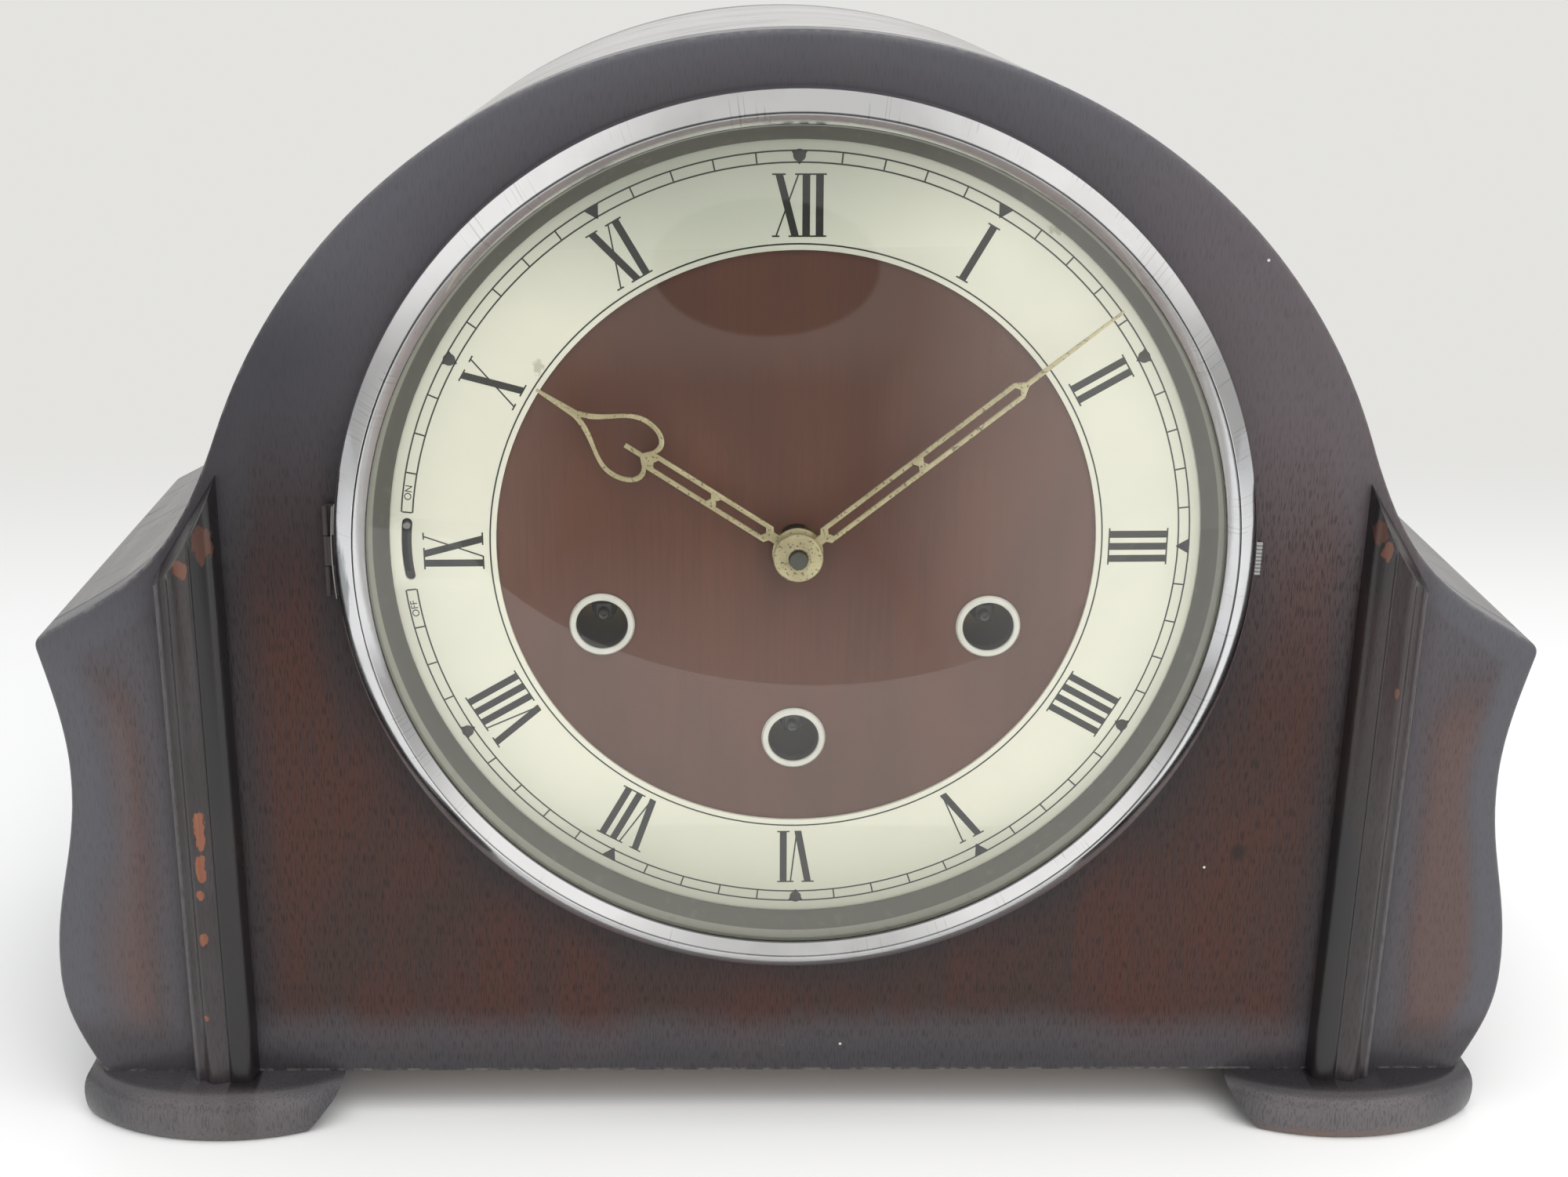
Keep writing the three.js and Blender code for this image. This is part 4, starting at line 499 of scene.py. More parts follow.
def make_raw_wood():
    finish = Finish("raw wood")
    place = finish.place()
    grain = finish.noise(place, 60, 3.5, 3.5, detail=4.0, distortion=0.8)
    colour = finish.blend(finish.rise(grain, 0.3, 0.7), RAW_DARK, RAW_PALE)
    finish.set(
        Base_Color=colour,
        Roughness=0.65 + 0.2 * grain,
        Normal=finish.bump(grain, 0.3, 0.2),
    )
    return finish


raw_wood = make_raw_wood()
print(raw_wood.material.name)

# %% [markdown]
# ## Metals
# Chrome, brass, steel and iron differ in colour, in how sharp their reflections are and in what age
# does to them. One function makes them all: a colour that drifts to a tarnished one in soft clouds,
# fine marks in the roughness, and a metallic shader. Chrome keeps almost all of its shine.

# %% Metals
def make_metal(name, clean, tarnished, roughness, spread, cloud=12.0, share=0.5, metallic=1.0):
    finish = Finish(name)
    place = finish.place()
    clouds = finish.rise(finish.noise(place, cloud, cloud, cloud, detail=4.0), 0.4, 0.75)
    marks = finish.noise(place, 0.8, 0.8, 0.8, detail=3.0)
    finish.set(
        Base_Color=finish.blend(clouds * share, clean, tarnished),
        Metallic=metallic,
        Roughness=roughness + spread * clouds + 0.5 * spread * marks,
        Normal=finish.bump(marks, 0.05, 0.05),
    )
    return finish


METALS = {
    "brass": ((0.60, 0.42, 0.16, 1), (0.36, 0.23, 0.09, 1), 0.26, 0.15),
    "steel": ((0.42, 0.42, 0.42, 1), (0.24, 0.23, 0.21, 1), 0.28, 0.15),
    "dark steel": ((0.16, 0.16, 0.15, 1), (0.10, 0.09, 0.08, 1), 0.4, 0.15, 3.0),
    "iron": ((0.09, 0.09, 0.09, 1), (0.14, 0.08, 0.05, 1), 0.5, 0.2, 8.0),
    "browned steel": ((0.042, 0.031, 0.030, 1), (0.036, 0.027, 0.026, 1), 0.5, 0.2, 12.0, 0.5, 0.1),
    "nickel": ((0.80, 0.78, 0.72, 1), (0.62, 0.60, 0.53, 1), 0.4, 0.1, 4.0, 0.5, 0.35),
    "chrome": ((0.68, 0.68, 0.69, 1), (0.56, 0.56, 0.56, 1), 0.07, 0.06),
}
made = {name: make_metal(name, *values) for name, values in METALS.items()}
brass, steel, dark_steel, iron, browned, nickel, chrome = made.values()
print(", ".join(made))

# %% [markdown]
# ## Painted shade, reflection and age on nickel and chrome
# Two of the metals carry marks of their own. The nickel bushes are painted darker behind their faces,
# as painted shade in the bores. The chrome has fine scratches, a painted dark reflection beside the
# hinge and a dark line along its inner lip. Each mark is a mask that mixes a darker colour over the one
# that is already there.

# %% Painted shade, reflection and age on nickel and chrome
BORE_SHADE = (0.035, 0.032, 0.026, 1)
WORN_CHROME_AND_REFLECTION = (0.16, 0.165, 0.17, 1)
DARK_REFLECTION_PLACE = (-90, -6.5, -7)
DARK_REFLECTION_SIZE = (2.4, 40, 12)


def shade_bores(finish):
    """Painted shade in the bores of the nickel bushes, behind their faces."""
    shaded_bore = finish.rise(finish.apart(finish.place(), 1), 1.5, 2.0)
    finish.set(Base_Color=finish.blend(shaded_bore, finish.base_colour(), BORE_SHADE))


def wear_chrome_and_paint_reflection(finish):
    """Scratches across the bezel, a painted dark reflection beside the hinge and a dark line along the inner
    lip.
    """
    place = finish.place()
    across, height = finish.apart(place, 0), finish.apart(place, 2)
    lines = finish.bands(across.maths("ARCTAN2", height, across) * 170, 1.0)
    patches = finish.rise(finish.noise(place, 9, 9, 9, detail=2.0), 0.5, 0.62)
    scratches = finish.rise(lines, 0.58, 0.68) * patches
    ragged = finish.noise(place, 1.1, 1.1, 7, detail=3.0) - 0.5
    dark_reflection = 1 - finish.rise(finish.distance(place, DARK_REFLECTION_PLACE, DARK_REFLECTION_SIZE) + 1.6 * ragged, 0.5, 1.0)
    lip = 1 - finish.rise(finish.from_middle(place), 84.68, 84.8)
    # This mixes real scratches, the painted dark reflection and the dark lip line.
    worn = (scratches * 0.22).at_least(dark_reflection * 0.75).at_least(lip)
    finish.set(Base_Color=finish.blend(worn, finish.base_colour(), WORN_CHROME_AND_REFLECTION))


shade_bores(nickel)
wear_chrome_and_paint_reflection(chrome)
# The dark in the bores is painted shade, and the chrome carries a painted dark reflection.
print("oil in the bores, wear on the chrome")

# %% [markdown]
# ## Sight ring
# Between glass and dial a dull grey ring slopes in to the dial. Its rim is paler and was brushed round
# and round, and its cone has gone dark and spotted. Rings of brushing come from a noise on the distance
# from the middle.

# %% Sight ring grey
SIGHT_STEP_RADIUS = 83.8
CONE_GREY = (0.092, 0.088, 0.072, 1)
RIM_GREY = (0.30, 0.295, 0.25, 1)
SPOT_GREY = (0.19, 0.18, 0.15, 1)


def make_sight_grey():
    finish = Finish("grey sight ring")
    place = finish.place()
    radius = finish.from_middle(place)
    rings = finish.bands(radius, 6.0)
    rim = finish.rise(radius, SIGHT_STEP_RADIUS - 0.05, SIGHT_STEP_RADIUS + 0.15)
    spots = finish.rise(finish.noise(place, 2.2, 2.2, 2.2, detail=4.0), 0.55, 0.75)
    colour = finish.blend(rim, CONE_GREY, RIM_GREY)
    colour = finish.blend(spots * 0.35, colour, SPOT_GREY)
    finish.set(
        Base_Color=colour,
        Metallic=0.2,
        Roughness=0.28 + 0.15 * rings,
        Normal=finish.bump(rings, 0.1, 0.06),
    )
    return finish


sight_grey = make_sight_grey()
print(sight_grey.material.name)

# %% [markdown]
# ## Glass
# The domed glass is clear and thin, and what shows of it is its reflection. So a clear shader is mixed
# with a mirror by Fresnel. Both faces of real glass reflect, and the index is a little higher than
# glass to stand for the two at once. Only the front face reflects here, so that the back face adds no
# false mirror.

# %% Glass
TWO_FACE_IOR = 1.72


def make_glass():
    finish = Finish("clear domed glass")
    edge_on = finish.node("ShaderNodeFresnel", {}, {"IOR": TWO_FACE_IOR})
    back = finish.node("ShaderNodeNewGeometry", output="Backfacing")
    clear = finish.node("ShaderNodeBsdfTransparent", {}, {"Color": (0.97, 0.975, 0.96, 1)})
    mirror = finish.node("ShaderNodeBsdfGlossy", {}, {"Color": (1, 1, 1, 1), "Roughness": 0.02})
    mixed = finish.node("ShaderNodeMixShader", {}, {0: edge_on * (1 - back), 1: clear, 2: mirror})
    finish.feed(finish.tree.nodes["Material Output"].inputs["Surface"], mixed)
    return finish


glass = make_glass()
print(glass.material.name)

# %% [markdown]
# ## Dial
# The chapter ring is silvered: pale, greenish and matt like fine frost, with a few stains. Its top is
# painted duller as a dark reflection, and its lower part darker as painted shade. The middle of the
# dial is brown veneer, paler and smoother than the case, with painted shade over its top. The ink is a
# soft black.

# %% Silvered ring
STAINS = [((-50.9, 0, 36.6), (1.3, 50, 1.8)), ((48.2, 0, 64.5), (1.6, 50, 1.3)), ((56, 0, 66), (2, 50, 1.2))]
SILVER = (0.89, 0.865, 0.745, 1)
CLOUDED_SILVER = (0.85, 0.83, 0.715, 1)
SILVER_UNDER_DARK_REFLECTION = (0.57, 0.58, 0.49, 1)
SHADED_LOW_SILVER = (0.64, 0.63, 0.52, 1)
STAIN = (0.35, 0.33, 0.22, 1)


def make_silvered():
    finish = Finish("silvered ring")
    place = finish.place()
    frost = finish.noise(place, 0.5, 0.5, 0.5, detail=2.0)
    clouds = finish.rise(finish.noise(place, 22, 22, 22, detail=4.0), 0.35, 0.75)
    colour = finish.blend(clouds, SILVER, CLOUDED_SILVER)
    # A painted dark reflection dulls the top of the ring.
    dull = 1 - finish.rise(finish.distance(place, (-14, 0, 76), (52, 1000, 34)), 0.2, 1.2)
    colour = finish.blend(dull, colour, SILVER_UNDER_DARK_REFLECTION)
    # Painted shade darkens the lower part of the ring.
    low = 1 - finish.rise(finish.apart(place, 2), -84, -40)
    colour = finish.blend(low * 0.6, colour, SHADED_LOW_SILVER)
    ragged = finish.noise(place, 0.8, 0.8, 0.8, detail=3.0) - 0.5
    for point, sizes in STAINS:
        near = 1 - finish.rise(finish.distance(place, point, sizes) + ragged * 2.0, 0.4, 1.1)
        colour = finish.blend(near * 0.5, colour, STAIN)
    finish.set(
        Base_Color=colour,
        Metallic=0.15,
        Roughness=0.40 + 0.15 * frost,
        Normal=finish.bump(frost, 0.12, 0.05),
    )
    return finish


silvered = make_silvered()
print(silvered.material.name)

# %% Brown dial and ink
DIAL_DARK = (0.106, 0.040, 0.026, 1)
DIAL_PALE = (0.136, 0.051, 0.031, 1)
DIAL_TOP_SHADE = (0.060, 0.028, 0.019, 1)
DIAL_LOW = (0.070, 0.034, 0.025, 1)
DIAL_STREAK = (0.062, 0.028, 0.020, 1)
DIAL_PORE = (0.045, 0.022, 0.015, 1)
SLOT_SHADE = (0.012, 0.014, 0.012, 1)
SLOT_PLACE = (-77.6, 0, -0.7)
SLOT_SIZE = (2.4, 50, 8)
INK = (0.018, 0.019, 0.016, 1)
WORN_INK = (0.05, 0.05, 0.04, 1)


def make_dial_brown():
    finish = Finish("brown dial veneer")
    place = finish.place()
    height = finish.apart(place, 2)
    figure, streaks, pores = wood_pattern(finish, place, 2)
    colour = finish.blend(finish.rise(figure, 0.35, 0.7), DIAL_DARK, DIAL_PALE)
    # Painted shade over the top of the dial, under the bezel.
    colour = finish.blend(finish.rise(height, 8, 50) * 0.4, colour, DIAL_TOP_SHADE)
    colour = finish.blend((1 - finish.rise(height, -56, -34)) * 0.3, colour, DIAL_LOW)
    colour = finish.blend(finish.rise(streaks, 0.4, 0.7) * 0.25, colour, DIAL_STREAK)
    colour = finish.blend(pores * 0.12, colour, DIAL_PORE)
    behind_slot = 1 - finish.rise(finish.distance(place, SLOT_PLACE, SLOT_SIZE), 0.9, 1.1)
    colour = finish.blend(behind_slot, colour, SLOT_SHADE)
    finish.set(Base_Color=colour, Roughness=0.42 + 0.1 * streaks)
    return finish


def make_ink():
    finish = Finish("dial ink")
    place = finish.place()
    wear = finish.noise(place, 0.7, 0.7, 0.7, detail=3.0)
    colour = finish.blend(finish.rise(wear, 0.55, 0.8) * 0.5, INK, WORN_INK)
    finish.set(Base_Color=colour, Roughness=0.45 + 0.15 * wear)
    return finish


dial_brown = make_dial_brown()
ink = make_ink()
print(dial_brown.material.name, "and", ink.material.name)

# %% [markdown]
# ## Gilt
# The hands and their collet are pale gilt brass. Age has put small dark specks on them, which are the
# high points of a fine noise.

# %% Gilt
GILT = (0.62, 0.55, 0.34, 1)
DULL_GILT = (0.50, 0.43, 0.26, 1)
SPECK = (0.07, 0.05, 0.03, 1)


def make_gilt():
    finish = Finish("pale gilt")
    place = finish.place()
    specks = finish.rise(finish.noise(place, 0.55, 0.55, 0.55, detail=3.0), 0.58, 0.66)
    dull = finish.noise(place, 4, 4, 4, detail=3.0)
    colour = finish.blend(finish.rise(dull, 0.3, 0.7), GILT, DULL_GILT)
    colour = finish.blend(specks * 0.8, colour, SPECK)
    finish.set(
        Base_Color=colour,
        Metallic=0.5 - 0.4 * specks,
        Roughness=0.34 + 0.3 * specks,
    )
    return finish


gilt = make_gilt()
print(gilt.material.name)

# %% [markdown]
# ## Tools of the workshop
# Four ways of making cover every piece. A sheet is a grid whose rows are laid along an outline, which
# suits boards and mouldings. A turned piece is a profile spun round an axis. A plate is a flat curve
# given thickness, with softened edges. A bar is a box whose faces are moved and whose edges are
# bevelled. Each way ends with merged points and faces that look outwards.

# %% Starting, closing and dressing a piece
MERGE = 1e-6
SMOOTH_ANGLE = math.radians(35)


def take(piece):
    """Makes a piece the only one selected."""
    bpy.ops.object.select_all(action="DESELECT")
    piece.select_set(True)
    bpy.context.view_layer.objects.active = piece


def close_up(piece, fill=False):
    """Merges doubled points, closes open ends if asked and turns the faces outwards."""
    take(piece)
    bpy.ops.object.mode_set(mode="EDIT")
    bpy.ops.mesh.select_all(action="SELECT")
    bpy.ops.mesh.remove_doubles(threshold=MERGE)
    bpy.ops.mesh.delete_loose()
    bpy.ops.mesh.select_all(action="SELECT")
    if fill:
        bpy.ops.mesh.fill_holes(sides=0)
    bpy.ops.mesh.normals_make_consistent(inside=False)
    bpy.ops.object.mode_set(mode="OBJECT")
    bpy.ops.object.shade_smooth_by_angle(angle=SMOOTH_ANGLE)


def dress(piece, name, finish, slot, body, *stands_for):
    """Names a finished piece, gives it its finish and lets it move with a body of the clock."""
    piece.name = name
    piece.data.name = name
    piece.data.materials.clear()
    piece.data.materials.append(finish.material)
    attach(piece, body)
    if stands_for:
        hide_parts(*stands_for)
    print(name, len(piece.data.polygons), "faces")
    return piece


# %% Sheets
def lay_sheet(rows):
    """A grid whose rows of points lie where the given rows of places are."""
    bpy.ops.object.select_all(action="DESELECT")
    bpy.ops.mesh.primitive_grid_add(x_subdivisions=len(rows[0]) - 1, y_subdivisions=len(rows) - 1)
    sheet = bpy.context.object
    for vertex, place in zip(sheet.data.vertices, chain(*rows)):
        vertex.co = place
    return sheet


def closed(points):
    return [*points, points[0]]


# %% Turned pieces
def turn(profile, centre=(0, 0), steps=128):
    """A piece turned on the lathe: a profile of radius and depth, spun about an axis along the depth."""
    x, z = centre
    bpy.ops.object.select_all(action="DESELECT")
    bpy.ops.mesh.primitive_circle_add(vertices=len(profile), radius=MM)
    piece = bpy.context.object
    for vertex, (radius, y) in zip(piece.data.vertices, profile):
        vertex.co = spot(x + radius, y, z)
    bpy.ops.object.mode_set(mode="EDIT")
    bpy.ops.mesh.select_all(action="SELECT")
    bpy.ops.mesh.spin(steps=steps, angle=2 * math.pi, center=spot(x, 0, z), axis=(0, 1, 0))
    bpy.ops.object.mode_set(mode="OBJECT")
    close_up(piece)
    return piece


# %% Plates
def cut_plate(outlines, front, back, edge):
    """A plate sawn to flat outlines of x and z, between two depths, with softened edges."""
    drawing = bpy.data.curves.new("outline", "CURVE")
    drawing.dimensions = "2D"
    drawing.fill_mode = "BOTH"
    drawing.extrude = MM * ((back - front) / 2 - edge)
    drawing.bevel_depth = MM * edge
    drawing.bevel_resolution = 1
    drawing.offset = -MM * edge
    for points in outlines:
        spline = drawing.splines.new("POLY")
        spline.points.add(len(points) - 1)
        spline.use_cyclic_u = True
        for knot, (x, z) in zip(spline.points, points):
            knot.co = (MM * x, MM * z, 0, 1)
    plate = bpy.data.objects.new("plate", drawing)
    bpy.context.collection.objects.link(plate)
    take(plate)
    bpy.ops.object.convert(target="MESH")
    plate = bpy.context.object
    plate.rotation_euler = (math.pi / 2, 0, 0)
    plate.location = spot(0, (front + back) / 2, 0)
    bpy.ops.object.transform_apply(location=True, rotation=True, scale=True)
    close_up(plate)
    return plate


def circle(radius, centre=(0, 0), steps=160):
    turns = [2 * math.pi * step / steps for step in range(steps)]
    return [(centre[0] + radius * math.cos(angle), centre[1] + radius * math.sin(angle)) for angle in turns]


# %% Bars
def make_bar(low, high, edge, segments=2):
    """A box between two corners in millimetres, with bevelled edges."""
    bpy.ops.object.select_all(action="DESELECT")
    middle = [(a + b) / 2 for a, b in zip(low, high)]
    size = [MM * (b - a) for a, b in zip(low, high)]
    bpy.ops.mesh.primitive_cube_add(size=1, location=spot(*middle))
    bar = bpy.context.object
    bar.scale = size
    bpy.ops.object.transform_apply(location=True, rotation=True, scale=True)
    soften(bar, edge, segments)
    return bar


def soften(piece, edge, segments=2):
    """Rounds the sharp edges of a piece with an applied Bevel."""
    take(piece)
    bevel = piece.modifiers.new("soft edges", "BEVEL")
    bevel.width = MM * edge
    bevel.segments = segments
    bevel.limit_method = "ANGLE"
    bpy.ops.object.modifier_apply(modifier=bevel.name)
    close_up(piece)


def join(first, *others):
    take(first)
    for other in others:
        other.select_set(True)
    bpy.ops.object.join()
    return first


print("tools ready")

# %% [markdown]
# ## The case's outline
# Seen from the front the case is an arch with hollow shoulders, pointed tips and wavy sides. The right
# half is a chain of Bezier curves and an arc, and the left half mirrors it. Every board of the case
# follows this line, drawn in a little more towards the back because the case tapers.

# %% Outline of the case
UNDERSIDE = -119.6
ARCH_RADIUS = 121.4
ARCH_HEIGHT = 119.4
ARCH_MIDDLE = -18.4
ARCH_END = math.radians(20.6)
TIP = Vector((153.2, -20.2))
WAIST = Vector((148.5, -49))
BELLY = Vector((154.92, -96))
CORNER = Vector((148, UNDERSIDE))
TIP_SLOPE = math.radians(30)
CASE_DEPTH = 115
TAPER_BY_HEIGHT = [(-120, 3.0), (-49, 2.6), (-20, 1.2), (24, 4.4), (103, 4.0)]
CURVE_STEPS = 14
ARCH_STEPS = 44
UNDERSIDE_STEPS = 40


def bezier(start, first, second, end, steps=CURVE_STEPS):
    points = []
    for step in range(steps):
        t = step / steps
        s = 1 - t
        points.append(s**3 * start + 3 * s**2 * t * first + 3 * s * t**2 * second + t**3 * end)
    return points


def on_arch(turn_by):
    return Vector((ARCH_RADIUS * math.cos(turn_by), ARCH_MIDDLE + ARCH_HEIGHT * math.sin(turn_by)))


def half_outline():
    arch = on_arch(ARCH_END)
    low = 0.4 * (BELLY.y - CORNER.y)
    wave = 0.4 * (WAIST.y - BELLY.y)
    neck = 0.35 * (TIP.y - WAIST.y)
    up = Vector((0, 1))
    tip_handle = 24 * Vector((-math.cos(TIP_SLOPE), math.sin(TIP_SLOPE)))
    arch_handle = 30 * Vector((math.sin(ARCH_END), -math.cos(ARCH_END)))
    points = bezier(CORNER, CORNER + Vector((0.42, 0.9)) * low, BELLY - low * up, BELLY)
    points += bezier(BELLY, BELLY + wave * up, WAIST - wave * up, WAIST)
    side = bezier(WAIST, WAIST + neck * up, TIP - neck * Vector((0.23, 1)), TIP)
    shoulder = bezier(TIP, TIP + tip_handle, arch + arch_handle, arch, 2 * CURVE_STEPS)
    rounding = bezier(side[-1], side[-1].lerp(TIP, 0.7), shoulder[1].lerp(TIP, 0.7), shoulder[1], 6)
    points += side[:-1] + rounding + shoulder[1:]
    for step in range(ARCH_STEPS + 1):
        turn_by = ARCH_END + (math.pi / 2 - ARCH_END) * step / ARCH_STEPS
        points.append(on_arch(turn_by))
    return points


right_half = half_outline()
OUTLINE = right_half + [Vector((-point.x, point.y)) for point in reversed(right_half[:-1])]
print(len(OUTLINE), "points along the outline")

# %% Outline drawn in
def inward(start, end):
    along = (end - start).normalized()
    return Vector((-along.y, along.x))


def taper_at(height):
    """How far the back of the case is drawn in at a height."""
    for (low, first), (high, second) in zip(TAPER_BY_HEIGHT, TAPER_BY_HEIGHT[1:]):
        if height <= high:
            return first + (second - first) * (height - low) / (high - low)
    return second


def drawn_in(distance, depth_share=0.0):
    """The outline moved inwards, and by a share of the taper; its two ends stay on the underside."""
    moved = []
    last = len(OUTLINE) - 1
    for i, point in enumerate(OUTLINE):
        before = inward(OUTLINE[max(i, 1) - 1], OUTLINE[max(i, 1)])
        after = inward(OUTLINE[min(i, last - 1)], OUTLINE[min(i, last - 1) + 1])
        total = distance + depth_share * taper_at(point.y)
        if i in (0, last):
            moved.append(Vector((point.x + total / before.x, point.y)))
        else:
            moved.append(point + (before + after) * total / (1 + before.dot(after)))
    return moved


def case_line(y, inset=0):
    """The outline at a depth, as points around the dial's middle, open at the underside."""
    return drawn_in(inset, max(y, 0) / CASE_DEPTH)


def with_underside(points):
    """The outline closed along the underside."""
    left, right = points[-1], points[0]
    steps = range(1, UNDERSIDE_STEPS)
    return points + [left.lerp(right, step / UNDERSIDE_STEPS) for step in steps]


def at_depth(points, y):
    return [spot(point.x, y, point.y) for point in points]


def between(first, second, steps):
    """Rows of places that lead from one row to another."""
    rows = []
    for step in range(1, steps):
        rows.append([a.lerp(b, step / steps) for a, b in zip(first, second)])
    return rows


print("outline can be drawn in")

# %% [markdown]
# ## Front panel
# The panel is a thick board with a round opening for the dial and a softly rounded front edge. It is
# laid as one closed band of rows: from the opening out across the face, round the edge, along the
# thickness, and back across the rear to the opening. A grid can do that because each point of the
# outline has a partner on the opening.

# %% Front panel
OPENING_RADIUS = 87
PANEL_THICKNESS = 10
PANEL_EDGE = 1.2
EDGE_STEPS = 5
FACE_ROWS = 14
REAR_GAP = 0.1
REAR_INSET = 0.15
REAR_BREAK = 0.4


def opening_line(points, radius):
    """A partner on the dial opening for each point of the outline."""
    return [radius * point.normalized() for point in points]


def rounded_edge(front, radius, steps):
    """Depth and inset along a quarter round from the face to the side."""
    for step in range(steps + 1):
        turn_by = math.pi / 2 * step / steps
        yield front + radius * (1 - math.cos(turn_by)), radius * (1 - math.sin(turn_by))


def make_panel():
    hole = opening_line(with_underside(OUTLINE), OPENING_RADIUS)
    edge_rows = []
    for y, inset in rounded_edge(0, PANEL_EDGE, EDGE_STEPS):
        edge_rows.append(at_depth(with_underside(case_line(y, inset)), y))
    rear_depth = PANEL_THICKNESS - REAR_GAP
    break_depth = PANEL_THICKNESS - REAR_BREAK
    rear = at_depth(with_underside(case_line(PANEL_THICKNESS, REAR_INSET)), rear_depth)
    shoulder = at_depth(with_underside(case_line(break_depth)), break_depth)
    front_hole = at_depth(hole, 0)
    rear_hole = at_depth(hole, rear_depth)
    face = between(front_hole, edge_rows[0], FACE_ROWS)
    rows = [front_hole, *face, *edge_rows, shoulder, rear, rear_hole, front_hole]
    panel = lay_sheet([closed(row) for row in rows])
    close_up(panel)
    return panel


def mark_edge_distance(piece, points):
    """Stores each vertex's distance from an outline, in millimetres, for its finish."""
    outline = closed(at_depth(points, 0))
    marks = piece.data.attributes.new(EDGE_DISTANCE, "FLOAT", "POINT")
    for vertex, mark in zip(piece.data.vertices, marks.data):
        flat = Vector((vertex.co.x, outline[0].y, vertex.co.z))
        nearest = []
        for start, end in zip(outline, outline[1:]):
            _, share = intersect_point_line(flat, start, end)
            nearest.append((flat - start.lerp(end, min(1, max(0, share)))).length)
        mark.value = min(nearest) / MM


panel = make_panel()
mark_edge_distance(panel, with_underside(OUTLINE))
dress(panel, "veneered_panel", mahogany, "mahogany", "case", "front_panel")

# %% [markdown]
# ## Cover
# Thin wood bent over the arch, shoulders and sides closes the case between the panel and the back. It
# is a band of rows as well: along the outside from front to back, round the rear edge and along the
# inside to the front. Its front edge is broken a little, which leaves the fine dark seam beside the
# panel.

# %% Cover
WALL = 4
COVER_START = PANEL_THICKNESS
BOARD_THICKNESS = 9
COVER_END = CASE_DEPTH - BOARD_THICKNESS
COVER_ROWS = 10
SEAM = 0.35
COVER_GAP = 0.02


def make_cover():
    starts = [(COVER_START + COVER_GAP, SEAM), (COVER_START + SEAM, 0)]
    outside = [at_depth(case_line(y, inset), y) for y, inset in starts]
    outside_end = at_depth(case_line(COVER_END), COVER_END)
    inside_end = at_depth(case_line(COVER_END, WALL), COVER_END)
    inside_start = at_depth(case_line(COVER_START, WALL), COVER_START + COVER_GAP)
    rows = [*outside, *between(outside[-1], outside_end, COVER_ROWS), outside_end]
    rows += [inside_end, *between(inside_end, inside_start, COVER_ROWS), inside_start, outside[0]]
    cover = lay_sheet(rows)
    close_up(cover, fill=True)
    return cover


cover = make_cover()
dress(cover, "bent_cover", cover_wood, "mahogany", "case", "case_wrap")

# %% [markdown]
# ## Back board
# The back is a board with an arched opening, closed by the door. The same band of rows makes it, with
# the partners of the outline on the opening's arch and straight sides. The two lower corners of the
# opening are kept sharp by moving the nearest partner into each.

# %% Back board
BOARD_START = CASE_DEPTH - BOARD_THICKNESS
BOARD_EDGE = 0.8
DOOR_OPENING = 82
DOOR_OPENING_BOTTOM = -94


def arched_line(points, half_width, bottom):
    """A partner on an arched opening for each point of the outline, seen from the arch's middle."""
    middle = Vector((0, ARCH_MIDDLE))
    partners = []
    for point in points:
        ray = (point - middle).normalized()
        if ray.y >= 0:
            reach = half_width
        else:
            reach = min(half_width / max(abs(ray.x), 1e-6), (bottom - ARCH_MIDDLE) / ray.y)
        partners.append(middle + reach * ray)
    for side in (-1, 1):
        corner = Vector((side * half_width, bottom))
        nearest = min(range(len(partners)), key=lambda i: (partners[i] - corner).length)
        partners[nearest] = corner
    return partners


def make_back_board():
    opening = arched_line(with_underside(OUTLINE), DOOR_OPENING, DOOR_OPENING_BOTTOM)
    front = at_depth(with_underside(case_line(BOARD_START)), BOARD_START)
    rear_rows = []
    for y, inset in rounded_edge(0, BOARD_EDGE, 3):
        rear_rows.insert(0, at_depth(with_underside(case_line(CASE_DEPTH - y, inset)), CASE_DEPTH - y))
    front_opening = at_depth(opening, BOARD_START)
    rear_opening = at_depth(opening, CASE_DEPTH)
    rows = [front_opening, front, *rear_rows, rear_opening, front_opening]
    board = lay_sheet([closed(row) for row in rows])
    close_up(board)
    return board


board = make_back_board()
dress(board, "back_board", dark_wood, "dark_wood", "case", "back_frame")

# %% [markdown]
# ## Feet
# Each foot is a flat bar under the case whose front swells out in a bow with a full round edge. It is a
# stack of rings, one for each height: the bow's line moved outwards as the edge swells and back where
# it tucks under.

# %% Feet
FOOT_HEIGHT = 11
FOOT_INNER = 96.6
FOOT_OUTER = 150
FOOT_BOW = 8.1
FOOT_BULGE = 3.4
FOOT_SLOPE = 0.72
FOOT_LENGTH = 100
FOOT_STEPS = 28
BOW_STEPS = 400
FOOT_RINGS = 14


def foot_spread(share):
    """How far the round edge stands out, from the top at 0 to the floor at 1."""
    swell = FOOT_BULGE * math.sqrt(max(0, 1 - (1 - 2 * share) ** 2))
    return max(swell, (FOOT_BULGE + swell) / 2) if share > 0.5 else swell


